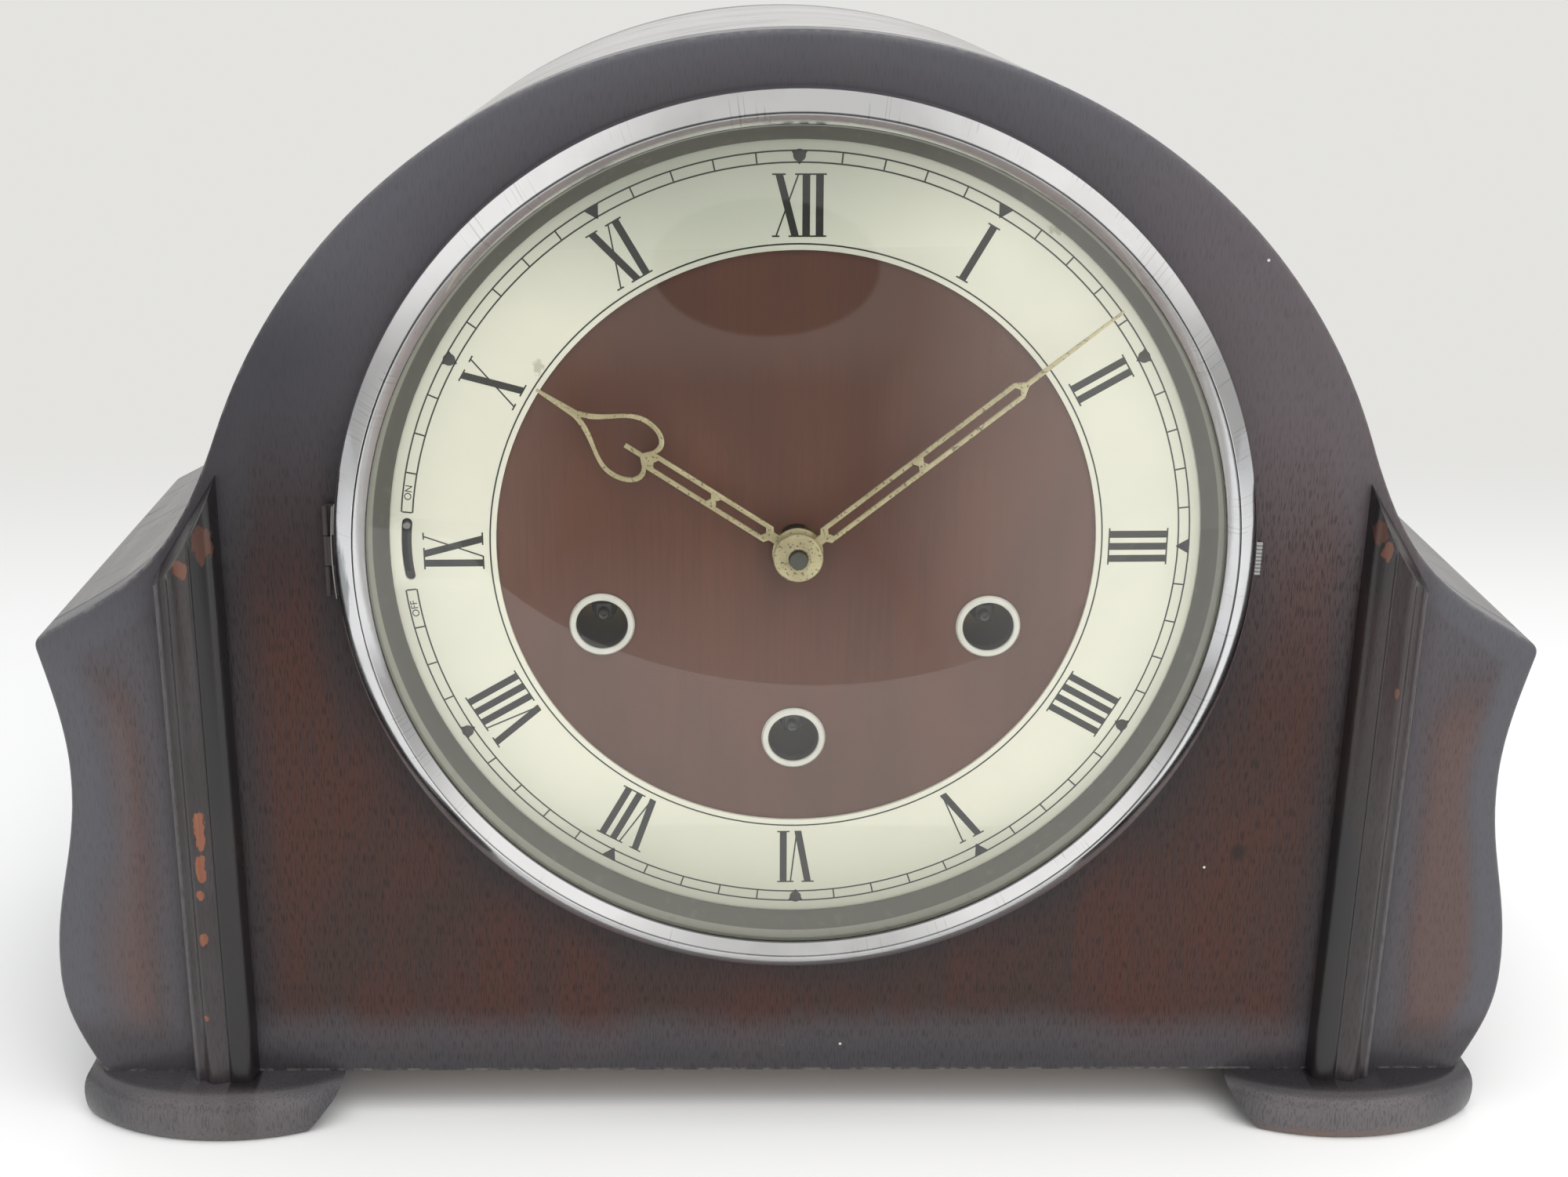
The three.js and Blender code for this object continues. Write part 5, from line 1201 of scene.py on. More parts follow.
def foot_ring(share, side):
    width = FOOT_OUTER - FOOT_INNER
    knots = [
        Vector((FOOT_INNER, 0)),
        Vector((FOOT_INNER + 0.21 * width, -1.3 * FOOT_BOW)),
        Vector((FOOT_INNER + 0.74 * width, -1.48 * FOOT_BOW)),
        Vector((FOOT_OUTER, 0.33 * FOOT_BOW)),
    ]
    fine = bezier(*knots, steps=BOW_STEPS) + [knots[-1]]
    inner_end = FOOT_INNER + FOOT_SLOPE * FOOT_HEIGHT * share
    first = next(i for i, point in enumerate(fine) if point.x >= inner_end)
    ring = []
    for step in range(FOOT_STEPS + 1):
        i = round(first + (BOW_STEPS - 1 - first) * step / FOOT_STEPS)
        along = (fine[i + 1] - fine[i]).normalized()
        ring.append(fine[i] + foot_spread(share) * Vector((along.y, -along.x)))
    rear_taper = taper_at(UNDERSIDE) * FOOT_LENGTH / CASE_DEPTH
    ring.append(Vector((ring[-1].x - rear_taper, FOOT_LENGTH)))
    ring.append(Vector((ring[0].x, FOOT_LENGTH)))
    z = UNDERSIDE - FOOT_HEIGHT * share
    return [spot(side * point.x, point.y, z) for point in ring]


def make_foot(side):
    shares = [(1 - math.cos(math.pi * step / FOOT_RINGS)) / 2 for step in range(FOOT_RINGS + 1)]
    foot = lay_sheet([closed(foot_ring(share, side)) for share in shares])
    close_up(foot, fill=True)
    return foot


for side, name in ((-1, "left"), (1, "right")):
    dress(make_foot(side), f"{name}_bow_foot", foot_wood, "dark_wood", "case", f"foot_{name}")

# %% [markdown]
# ## Pilasters
# Each pilaster is a strip of moulding on its foot: two flat reeds with a fine groove between, and a
# narrow bead along the outer edge. Its section is drawn with straight lines whose corners are then cut
# twice, which rounds them. The moulding is cut off on the slant along the shoulder. The slant also
# leans backwards, so each reed ends in a small facet. Rows run across the moulding, from the foot up to
# the cut.

# %% Pilasters
PILASTER_INNER = 114.2
MOULDING = [
    (0, -0.15),
    (0, 1.4),
    (0.1, 2.6),
    (0.5, 3.9),
    (1.3, 4.75),
    (2.4, 5),
    (3.6, 5.05),
    (4.8, 4.95),
    (5.3, 4.5),
    (5.7, 4.45),
    (6.2, 4.7),
    (7.2, 5.1),
    (8.2, 5.35),
    (9, 5.4),
    (9.6, 5.1),
    (10.1, 4.5),
    (10.6, 4.1),
    (11.2, 3.95),
    (11.9, 4.05),
    (12.5, 4),
    (12.95, 3.6),
    (13.2, 2.8),
    (13.3, 1.6),
    (13.35, 0.6),
    (13.5, 0.1),
    (13.7, -0.05),
    (13.7, -0.15),
]
CORNER_CUTS = 2
CUT_MARGIN = 2.8
CUT_LEAN = 0.35
PILASTER_ROWS = 24


def with_cut_corners(line):
    """A line with each inner corner replaced by two points beside it."""
    cut = [line[0]]
    for (x, out), (next_x, next_out) in zip(line, line[1:]):
        cut.append((0.75 * x + 0.25 * next_x, 0.75 * out + 0.25 * next_out))
        cut.append((0.25 * x + 0.75 * next_x, 0.25 * out + 0.75 * next_out))
    return [*cut, line[-1]]


def reed_line():
    """Places across the moulding: distance from the dial's middle line and height above the panel."""
    line = MOULDING
    for _ in range(CORNER_CUTS):
        line = with_cut_corners(line)
    return [(PILASTER_INNER + x, out) for x, out in line]


def cut_height(x):
    """Height of the slanting cut, a margin below the shoulder's edge."""
    edge = [point for point in drawn_in(CUT_MARGIN) if point.x > 0 and point.y > TIP.y - 10]
    i = next(i for i, point in enumerate(edge) if point.x < x)
    outer, inner = edge[i - 1], edge[i]
    return outer.y + (inner.y - outer.y) * (x - outer.x) / (inner.x - outer.x)


def make_pilaster(side):
    around = reed_line()
    heights = [cut_height(x) - CUT_LEAN * out for x, out in around]
    rows = []
    for step in range(PILASTER_ROWS + 1):
        share = step / PILASTER_ROWS
        row = []
        for (x, out), top in zip(around, heights):
            row.append(spot(side * x, -out, UNDERSIDE + share * (top - UNDERSIDE)))
        rows.append(closed(row))
    pilaster = lay_sheet(rows)
    close_up(pilaster, fill=True)
    return pilaster


for side, name in ((-1, "left"), (1, "right")):
    dress(make_pilaster(side), f"{name}_reeds", dark_wood, "dark_wood", "case", f"pilaster_{name}")

# %% [markdown]
# ## Bezel
# The chromed bezel is turned: an outer facet, a fine groove, an inner facet that slopes down to the
# glass, and a bore behind it. The profile has a few extra points at each corner so that edges catch
# the light.

# %% Bezel
BEZEL_PROFILE = [
    (91.1, -1.1),
    (91.1, -4.5),
    (91.0, -5.2),
    (90.75, -5.65),
    (90.4, -6.0),
    (87.4, -8.42),
    (87.2, -8.52),
    (87.04, -8.42),
    (86.96, -8.1),
    (86.88, -8.5),
    (86.74, -8.72),
    (86.56, -8.68),
    (84.7, -6.62),
    (84.56, -6.4),
    (84.6, -5.82),
    (84.8, -5.8),
    (86.5, -5.64),
    (86.5, -1.1),
]
bezel = turn(BEZEL_PROFILE, steps=192)
dress(bezel, "chrome_bezel", chrome, "chrome", "bezel", "bezel")

# %% [markdown]
# ## Seat and hinge of the bezel
# A browned ring on the panel seats the bezel, and two tongues carry the outer knuckles of its hinge.
# The middle knuckle belongs to a leaf on the bezel, whose bent end shows as a thin bright strip along
# the rim. A knuckle is a small turned barrel, laid as a sheet of rings because its axis is upright.

# %% Seat and hinge of the bezel
HINGE_X = -93
HINGE_Y = -1.9
KNUCKLE_RADIUS = 0.6
KNUCKLE_BREAK = 0.12
LEAF_HALF = 3.1
FIXED_KNUCKLES = [(3.2, 9.4), (-9.4, -3.2)]
TONGUE_INSET = 0.2
STRIP_HALF = math.radians(6)
STRIP_STEPS = 12
STRIP_SECTION = [(91.0, -1.3), (91.9, -1.3), (91.9, -3.4), (91.65, -3.4), (91.65, -1.7), (91.0, -1.7)]
SEAT_PROFILE = [(87.3, -0.01), (87.3, -0.7), (87.4, -0.8), (90.5, -0.8), (90.6, -0.7), (90.6, -0.01)]


def turn_upright(profile, x, y, steps=24):
    """A piece turned about an upright axis: a profile of radius and height, from one end to the other."""
    turns = [2 * math.pi * step / steps for step in range(steps)]
    rows = []
    for radius, z in profile:
        ring = [(x + radius * math.cos(angle), y + radius * math.sin(angle)) for angle in turns]
        rows.append(closed([spot(*place, z) for place in ring]))
    piece = lay_sheet(rows)
    close_up(piece, fill=True)
    return piece


def make_knuckle(low, high):
    """One barrel of the hinge, with its ends broken."""
    small = KNUCKLE_RADIUS - KNUCKLE_BREAK
    sides = [(KNUCKLE_RADIUS, low + KNUCKLE_BREAK), (KNUCKLE_RADIUS, high - KNUCKLE_BREAK)]
    return turn_upright([(small, low), *sides, (small, high)], HINGE_X, HINGE_Y)


def make_tongue(low, high):
    """A strip from the seat to a fixed knuckle."""
    return make_bar((HINGE_X, -0.8, low + TONGUE_INSET), (-88, -0.2, high - TONGUE_INSET), 0.1)


def make_rim_strip():
    """The bent end of the moving leaf, an angle that follows the rim of the bezel."""
    rows = []
    for step in range(STRIP_STEPS + 1):
        turn_by = math.pi + STRIP_HALF * (2 * step / STRIP_STEPS - 1)
        rows.append(closed([spot(r * math.cos(turn_by), y, r * math.sin(turn_by)) for r, y in STRIP_SECTION]))
    strip = lay_sheet(rows)
    close_up(strip, fill=True)
    return strip


knuckles = [make_knuckle(*ends) for ends in FIXED_KNUCKLES]
tongues = [make_tongue(*ends) for ends in FIXED_KNUCKLES]
seat = join(turn(SEAT_PROFILE), *knuckles, *tongues)
dress(seat, "seat_and_knuckles", browned, "chrome", "case", "bezel_seat")

leaf = make_bar((HINGE_X, -2.4, -3.0), (-90.8, -1.9, 3.0), 0.1)
hinge = join(make_knuckle(-LEAF_HALF, LEAF_HALF), leaf)
dress(hinge, "hinge_leaf", browned, "chrome", "bezel", "bezel_hinge")
dress(make_rim_strip(), "hinge_leaf_edge", chrome, "chrome", "bezel")

# %% [markdown]
# ## Lift tab
# A fingernail under this small tab opens the bezel, so it is serrated. Each ridge is a bar with broken
# edges, and the bars stand side by side.

# %% Lift tab
TAB_LOW = (90.9, -3.5, -3.5)
TAB_HIGH = (92.7, -1.6, 3.5)
TAB_RIDGES = 9


def make_tab():
    ridges = []
    *front_corner, lowest = TAB_LOW
    *back_corner, highest = TAB_HIGH
    pitch = (highest - lowest) / TAB_RIDGES
    for ridge in range(TAB_RIDGES):
        low = lowest + ridge * pitch
        ridges.append(make_bar((*front_corner, low), (*back_corner, low + pitch), 0.2, 1))
    return join(*ridges)


dress(make_tab(), "lift_tab", steel, "chrome", "bezel")

# %% [markdown]
# ## Glass and sight ring
# The glass is a shallow dome of even thickness. Its section is a parabola, spun like the bezel. Under
# it lies the sight ring: a flat rim and a cone that leads the eye down to the dial.

# %% Domed glass
GLASS_RADIUS = 86.2
GLASS_EDGE = -5.4595
GLASS_RISE = 6.5
GLASS_THICKNESS = 2
GLASS_STEPS = 24


def dome(radius):
    return GLASS_EDGE - GLASS_RISE * (1 - (radius / GLASS_RADIUS) ** 2)


radii = [GLASS_RADIUS * step / GLASS_STEPS for step in range(GLASS_STEPS + 1)]
front_line = [(radius, dome(radius)) for radius in radii]
back_line = [(radius, y + GLASS_THICKNESS) for radius, y in reversed(front_line)]
dress(turn(front_line + back_line), "domed_glass", glass, "glass", "bezel", "bezel_glass")

# %% Sight ring
SIGHT_TOP = GLASS_EDGE + GLASS_THICKNESS + 0.3
SIGHT_INNER = 81
SIGHT_FOOT = 0.9
SIGHT_PROFILE = [
    (GLASS_RADIUS, SIGHT_TOP),
    (SIGHT_STEP_RADIUS + 0.2, SIGHT_TOP + 0.55),
    (SIGHT_STEP_RADIUS, SIGHT_TOP + 0.65),
    (SIGHT_INNER + 0.1, SIGHT_FOOT - 0.5),
    (SIGHT_INNER, SIGHT_FOOT - 0.35),
    (SIGHT_INNER, SIGHT_FOOT),
    (SIGHT_INNER + 0.8, SIGHT_FOOT),
    (GLASS_RADIUS, SIGHT_TOP + 1.4),
]
dress(turn(SIGHT_PROFILE), "sight_cone", sight_grey, "chrome", "bezel", "sight_ring")

# %% [markdown]
# ## Chapter ring
# The silvered ring is a thin plate with a slot for the chime lever at IX. Its print was put on a touch
# crooked, so everything printed is turned a little against the case. One function turns a place on the
# print, given as how far round, how far out and how far sideways, into x and z.

# %% Chapter ring
RING_FACE = 1.2
RING_BACK = 2.0
RING_OUTER = 84
RING_INNER = 60.0
LEVER_PIVOT = (-40, 0)
LEVER_REACH = 37.75
SLOT_HALF_WIDTH = 1.0
SLOT_TOP = math.radians(180 - 7.3)
SLOT_BOTTOM = math.radians(180 + 9.4)
SLOT_STEPS = 10


def lever_place(reach, swing):
    """x and z of a place on the lever, from its pivot."""
    return LEVER_PIVOT[0] + reach * math.cos(swing), reach * math.sin(swing)


def round_end(swing, start):
    """A half circle at one end of the slot, from the given direction on."""
    x, z = lever_place(LEVER_REACH, swing)
    turns = [start + math.pi * step / SLOT_STEPS for step in range(1, SLOT_STEPS)]
    return [(x + SLOT_HALF_WIDTH * math.cos(angle), z + SLOT_HALF_WIDTH * math.sin(angle)) for angle in turns]


def lever_slot():
    swings = [SLOT_TOP + (SLOT_BOTTOM - SLOT_TOP) * step / SLOT_STEPS for step in range(SLOT_STEPS + 1)]
    outer = [lever_place(LEVER_REACH + SLOT_HALF_WIDTH, swing) for swing in swings]
    inner = [lever_place(LEVER_REACH - SLOT_HALF_WIDTH, swing) for swing in reversed(swings)]
    return outer + round_end(SLOT_BOTTOM, SLOT_BOTTOM) + inner + round_end(SLOT_TOP, SLOT_TOP + math.pi)


ring_outlines = [circle(RING_OUTER), circle(RING_INNER), lever_slot()]
ring = cut_plate(ring_outlines, RING_FACE, RING_BACK - 0.02, 0.08)
dress(ring, "silvered_ring", silvered, "silvered", "case", "chapter_ring")

# %% [markdown]
# ## Chime lever
# A flat arm behind the dial turns on a pivot, and a stud on its end comes through the slot, where a
# finger moves it up and down. The arm is a plate with two round ends and the stud is turned.

# %% Chime lever
LEVER_SWING = math.pi - math.radians(6.85)
LEVER_BACK = (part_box("chime_lever")[1].y - DIAL_MIDDLE.y) / MM
STUD_PROFILE = [(0, 0.3), (0.6, 0.3), (0.75, 0.5), (0.75, LEVER_BACK - 0.5), (0, LEVER_BACK - 0.5)]
STUD_END = 1.4
PIVOT_END = 3.0
ARM_THICKNESS = 1
ARM_STEPS = 12


def make_lever():
    """A flat arm behind the dial, with a stud that comes through the slot."""
    stud = lever_place(LEVER_REACH, LEVER_SWING)
    arm = []
    for (x, z), radius, side in ((stud, STUD_END, -0.5), (LEVER_PIVOT, PIVOT_END, 0.5)):
        for step in range(ARM_STEPS + 1):
            turn_by = LEVER_SWING + math.pi * (side + step / ARM_STEPS)
            arm.append((x + radius * math.cos(turn_by), z + radius * math.sin(turn_by)))
    plate = cut_plate([arm], LEVER_BACK - ARM_THICKNESS, LEVER_BACK, 0.15)
    return join(plate, turn(STUD_PROFILE, stud, 24))


dress(make_lever(), "stud_lever", steel, "steel", "chime_lever", "chime_lever")

# %% [markdown]
# ## Numerals
# Roman numerals are a few straight strokes: thick ones, hairlines, and thin serifs across their ends.
# Each stroke starts as a box whose corners move to where the pen went, and is united with the strokes
# before it, so that a numeral is one clean raised print. Neighbouring serifs run into each other by
# themselves, as on the real dial.

# %% Places on the print
PRINT_TURN = -0.8
INK_TOP = RING_FACE - 0.035
INK_FOOT = RING_FACE + 0.03


def on_print(degrees, radius, aside=0.0):
    """x and z of a place on the print: degrees clockwise from XII, distance out, distance sideways."""
    turn_by = math.radians(degrees + PRINT_TURN)
    x = radius * math.sin(turn_by) + aside * math.cos(turn_by)
    z = radius * math.cos(turn_by) - aside * math.sin(turn_by)
    return x, z


def place_stroke(piece, first, corners):
    """Moves the last eight points of a mesh, a new box, to four corners of a stroke."""
    for vertex in piece.data.vertices[first:]:
        left, up, front = vertex.co.x < 0, vertex.co.z > 0, vertex.co.y < 0
        x, z = corners[("top" if up else "foot", "left" if left else "right")]
        vertex.co = spot(x, INK_TOP if front else INK_FOOT, z)


def draw_strokes(strokes):
    """A print made of strokes, each four corners, united into one mesh."""
    bpy.ops.object.select_all(action="DESELECT")
    bpy.ops.mesh.primitive_cube_add(size=1)
    piece = bpy.context.object
    place_stroke(piece, 0, strokes[0])
    for corners in strokes[1:]:
        first = len(piece.data.vertices)
        bpy.ops.object.mode_set(mode="EDIT")
        bpy.ops.mesh.select_all(action="DESELECT")
        bpy.ops.mesh.primitive_cube_add(size=1)
        bpy.ops.object.mode_set(mode="OBJECT")
        place_stroke(piece, first, corners)
        bpy.ops.object.mode_set(mode="EDIT")
        bpy.ops.mesh.intersect_boolean(operation="UNION", solver="EXACT")
        bpy.ops.object.mode_set(mode="OBJECT")
    close_up(piece)
    return piece


print("strokes can be drawn")

# %% Numerals
NUMERAL_TOP = 74.5
NUMERAL_FOOT = 62.5
THICK = 1.45
HAIRLINE = 0.3
SERIF = 0.3
OVERHANG = 0.57
STEM_PITCH = 2.55
TUCK = 1.3
HOURS = ["XII", "I", "II", "III", "IIII", "V", "VI", "VII", "VIII", "IX", "X", "XI"]
LETTERS = {
    "I": ([(0.73, 0.73, THICK, True)], STEM_PITCH),
    "V": ([(1.40, 3.55, THICK, False), (5.10, 3.75, HAIRLINE, False)], 5.87),
    "X": ([(1.41, 4.55, THICK, True), (5.15, 0.81, HAIRLINE, True)], 5.86),
}


def numeral_strokes(word):
    """Strokes of a numeral as top middle, foot middle, width and whether the foot has a serif."""
    strokes = []
    start = 0.0
    for letter in word:
        drawn, advance = LETTERS[letter]
        strokes += [(top + start, foot + start, width, serif) for top, foot, width, serif in drawn]
        start += advance - (TUCK if word == "IX" else 0)
    return strokes


def stroke_corners(degrees, top, foot, width, high, low):
    corners = {}
    for end, middle, radius in (("top", top, high), ("foot", foot, low)):
        corners[end, "left"] = on_print(degrees, radius, middle - width / 2)
        corners[end, "right"] = on_print(degrees, radius, middle + width / 2)
    return corners


def centring(strokes):
    """How far a numeral is moved sideways to stand in the middle."""
    left = min(min(top, foot) - width / 2 for top, foot, width, _ in strokes)
    right = max(max(top, foot) + width / 2 for top, foot, width, _ in strokes)
    return -(left + right) / 2


def make_numeral(hour):
    strokes = numeral_strokes(HOURS[hour])
    shift = centring(strokes)
    degrees = 30 * hour
    drawn = []
    for top, foot, width, serif in strokes:
        top, foot = top + shift, foot + shift
        drawn.append(stroke_corners(degrees, top, foot, width, NUMERAL_TOP, NUMERAL_FOOT))
        across = width + 2 * OVERHANG
        drawn.append(stroke_corners(degrees, top, top, across, NUMERAL_TOP, NUMERAL_TOP - SERIF))
        if serif:
            drawn.append(stroke_corners(degrees, foot, foot, across, NUMERAL_FOOT + SERIF, NUMERAL_FOOT))
    return draw_strokes(drawn)


for hour, word in enumerate(HOURS):
    dress(make_numeral(hour), f"numeral_{word}", ink, "silvered", "case")

# %% [markdown]
# ## Minute track
# Two circles with a tick at each minute form the track. Circles are spun from a tiny section, and both
# stop on the two sides of the lever's slot. Triangles mark the hours, and small pins show where the
# ring is riveted to the plate behind it.

# %% Circles
TRACK_OUTER = 78.8
TRACK_INNER = 76.6
LINE = 0.3
SLOT_CLEAR = 6.0
CIRCLE_STEPS = 180


def printed_circle(radius, gap_degrees=0.0):
    """A printed line round the dial, with a gap on both sides of IX if asked."""
    inner, outer = radius - LINE / 2, radius + LINE / 2
    section = [(inner, INK_FOOT), (inner, INK_TOP), (outer, INK_TOP), (outer, INK_FOOT)]
    bpy.ops.object.select_all(action="DESELECT")
    bpy.ops.mesh.primitive_circle_add(vertices=4, radius=MM)
    line = bpy.context.object
    start = math.radians(180 - PRINT_TURN - gap_degrees)
    for vertex, (out, y) in zip(line.data.vertices, section):
        vertex.co = spot(out * math.cos(start), y, out * math.sin(start))
    bpy.ops.object.mode_set(mode="EDIT")
    bpy.ops.mesh.select_all(action="SELECT")
    sweep = 2 * math.pi - 2 * math.radians(gap_degrees)
    bpy.ops.mesh.spin(steps=CIRCLE_STEPS, angle=-sweep, center=spot(0, 0, 0), axis=(0, 1, 0))
    bpy.ops.object.mode_set(mode="OBJECT")
    close_up(line, fill=True)
    return line


dress(printed_circle(TRACK_OUTER, SLOT_CLEAR), "track_outer_line", ink, "silvered", "case")
dress(printed_circle(TRACK_INNER, SLOT_CLEAR), "track_inner_line", ink, "silvered", "case")
dress(printed_circle(RING_INNER + 1.2), "centre_line", ink, "silvered", "case")

# %% Ticks and triangles
TRIANGLE_HALF = 1.5
TRIANGLE_POINT = 76.2
POINT_HALF = 0.06
SLOT_MINUTE = 45


def make_ticks():
    high, low = TRACK_OUTER - LINE / 2, TRACK_INNER + LINE / 2
    drawn = []
    for minute in range(60):
        degrees = 6 * minute
        if minute % 5:
            drawn.append(stroke_corners(degrees, 0, 0, LINE, high, low))
        elif minute != SLOT_MINUTE:
            corners = stroke_corners(degrees, 0, 0, 2 * TRIANGLE_HALF, high, TRIANGLE_POINT)
            corners["foot", "left"] = on_print(degrees, TRIANGLE_POINT, -POINT_HALF)
            corners["foot", "right"] = on_print(degrees, TRIANGLE_POINT, POINT_HALF)
            drawn.append(corners)
    return join(*[draw_strokes([corners]) for corners in drawn])


dress(make_ticks(), "minute_marks", ink, "silvered", "case")

# %% Pins
PIN_RADIUS = 1.2
PIN_HEIGHT = 0.35
PIN_HOURS = (0, 2, 4, 6, 8, 10)
pin_line = [(0, RING_FACE + 0.1), (PIN_RADIUS, RING_FACE + 0.1), (PIN_RADIUS, RING_FACE - 0.4 * PIN_HEIGHT)]
pin_line += [(0.7 * PIN_RADIUS, RING_FACE - 0.85 * PIN_HEIGHT), (0, RING_FACE - PIN_HEIGHT)]
pins = [turn(pin_line, on_print(30 * hour, TRACK_INNER + 1.3), steps=20) for hour in PIN_HOURS]
dress(join(*pins), "ring_pins", iron, "silvered", "case")

# %% [markdown]
# ## Words beside the lever
# A lever at IX turns the chime on and off. Two plain words beside its slot say so, made from Blender's
# own letters: text becomes a mesh first, and only then is it laid on the ring.

# %% ON and OFF
LETTER_HEIGHT = 2.0
WORD_MINUTES = 1.5


def make_word(text, minute):
    bpy.ops.object.select_all(action="DESELECT")
    bpy.ops.object.text_add()
    word = bpy.context.object
    word.data.body = text
    word.data.align_x = "CENTER"
    word.data.align_y = "CENTER"
    word.data.size = MM * LETTER_HEIGHT
    word.data.extrude = MM * (INK_FOOT - INK_TOP) / 2
    bpy.ops.object.convert(target="MESH")
    word = bpy.context.object
    x, z = on_print(6 * minute, (TRACK_OUTER + TRACK_INNER) / 2)
    facing = Matrix.Rotation(math.pi / 2, 4, "X")
    turned = Matrix.Rotation(math.radians(6 * minute + PRINT_TURN), 4, "Y")
    word.matrix_world = Matrix.Translation(spot(x, (INK_TOP + INK_FOOT) / 2, z)) @ turned @ facing
    bpy.ops.object.transform_apply(location=True, rotation=True, scale=True)
    close_up(word)
    return word


dress(make_word("ON", SLOT_MINUTE + WORD_MINUTES), "word_on", ink, "silvered", "case")
dress(make_word("OFF", SLOT_MINUTE - WORD_MINUTES), "word_off", ink, "silvered", "case")

# %% [markdown]
# ## Winding bushes
# A nickel ring lines each winding hole. Its flange is rounded, so it reads as a bright ring round a
# dark hole.

# %% Winding bushes
BUSH_FLANGE = 6.65
BUSH_BORE = 5.2
BUSH_FACE = RING_BACK - 0.9
BUSH_PLACES = {"left": (-39.2, -16.6), "right": (39.2, -16.6), "centre": (0, -41.4)}
BUSH_PROFILE = [
    (BUSH_BORE, BUSH_FACE + 0.25),
    (BUSH_BORE + 0.15, BUSH_FACE + 0.05),
    (BUSH_BORE + 0.4, BUSH_FACE),
    (BUSH_FLANGE - 0.4, BUSH_FACE + 0.1),
    (BUSH_FLANGE - 0.1, BUSH_FACE + 0.4),
    (BUSH_FLANGE, BUSH_FACE + 0.7),
    (BUSH_FLANGE, RING_BACK - 0.01),
    (BUSH_BORE + 0.4, RING_BACK - 0.01),
    (BUSH_BORE + 0.4, RING_BACK + 2.2),
    (BUSH_BORE, RING_BACK + 2.2),
]
for name, centre in BUSH_PLACES.items():
    bush = turn(BUSH_PROFILE, centre, steps=64)
    dress(bush, f"{name}_winding_bush", nickel, "chrome", "case", f"winding_bush_{name}")

# %% [markdown]
# ## Winding arbors
# Deep in each hole stands the square end of an arbor, where the key fits. It is a bar with bevelled
# edges on a turned shaft, with a small turned tip in front that catches a little light.

# %% Winding arbors
ARBOR_PLACES = {"strike": BUSH_PLACES["left"], "chime": BUSH_PLACES["right"], "time": BUSH_PLACES["centre"]}
ARBOR_TIP_PROFILE = [(0, 8.2), (0.5, 8.2), (0.5, 7.7), (1.0, 7.5), (1.15, 7.7), (1.15, 9.5), (0, 9.5)]
ARBOR_ROUND = [(0, 12), (2.3, 12), (2.6, 12.3), (2.6, 58), (0, 58)]
SQUARE_HALF = 1.8
for name, (x, z) in ARBOR_PLACES.items():
    square = make_bar((x - SQUARE_HALF, 9.3, z - SQUARE_HALF), (x + SQUARE_HALF, 12.2, z + SQUARE_HALF), 0.4)
    arbor = join(turn(ARBOR_ROUND, (x, z), 40), turn(ARBOR_TIP_PROFILE, (x, z), 24), square)
    body = f"winding_arbor_{name}"
    dress(arbor, f"{name}_key_arbor", dark_steel, "steel", body, body)

# %% [markdown]
# ## Hands
# Both hands are sawn from thin sheet: a hub, twin bars joined by a link, and a long point. The hour
# hand carries an open heart. Their outlines are drawn upright, turned to the time, and cut as plates
# with soft edges.

# %% Outlines shared by the hands
BAR_START = 7
BAR_HALF = 1.85
BAR_STROKE = 0.92
NECK_HALF = 0.95
HAND_EDGE = 0.1
LINK_HALF = 0.6
HAND_THICKNESS = 0.6
BORE_STEPS = 32


def hub_arc(radius, steps=40):
    gap = math.asin(NECK_HALF / radius)
    start, end = math.pi / 2 + gap, math.pi / 2 - gap + 2 * math.pi
    turns = [start + (end - start) * step / steps for step in range(steps + 1)]
    return [(radius * math.cos(angle), radius * math.sin(angle)) for angle in turns]


def hand_outline(hub, right_edge):
    right = [(NECK_HALF, BAR_START - 0.7), (BAR_HALF, BAR_START), *right_edge]
    return hub_arc(hub) + right + [(-x, z) for x, z in reversed(right)]


def bar_slot(start, end):
    half = BAR_HALF - BAR_STROKE
    soft = 0.6 * half
    right = [(half, start + soft), (half, end - soft)]
    left = [(-half, end - soft), (-half, start + soft)]
    return [(0, start), *right, (0, end), *left]


def turned_points(points, degrees):
    cos, sin = math.cos(math.radians(degrees)), math.sin(math.radians(degrees))
    return [(x * cos + z * sin, z * cos - x * sin) for x, z in points]


def make_hand(outlines, degrees, front, back):
    return cut_plate([turned_points(points, degrees) for points in outlines], front, back, HAND_EDGE)


print("hands can be drawn")

# %% Minute hand
MINUTE_DEGREES = 50.9
MINUTE_BACK = -3.6
MINUTE_BAR_END = 55
MINUTE_LINK = 30.5
MINUTE_HUB = 4.6
MINUTE_BORE = 1.9
MINUTE_LENGTH = 79
minute_edge = [(BAR_HALF, MINUTE_BAR_END - 0.8), (0.5, MINUTE_BAR_END + 1.2), (0.24, MINUTE_LENGTH)]
minute_outlines = [
    hand_outline(MINUTE_HUB, minute_edge),
    circle(MINUTE_BORE, steps=BORE_STEPS),
    bar_slot(BAR_START + LINK_HALF, MINUTE_LINK - LINK_HALF),
    bar_slot(MINUTE_LINK + LINK_HALF, MINUTE_BAR_END - 0.5),
]
minute = make_hand(minute_outlines, MINUTE_DEGREES, MINUTE_BACK - HAND_THICKNESS, MINUTE_BACK)
dress(minute, "minute_pointer", gilt, "gilt", "minute_hand", "minute_hand")

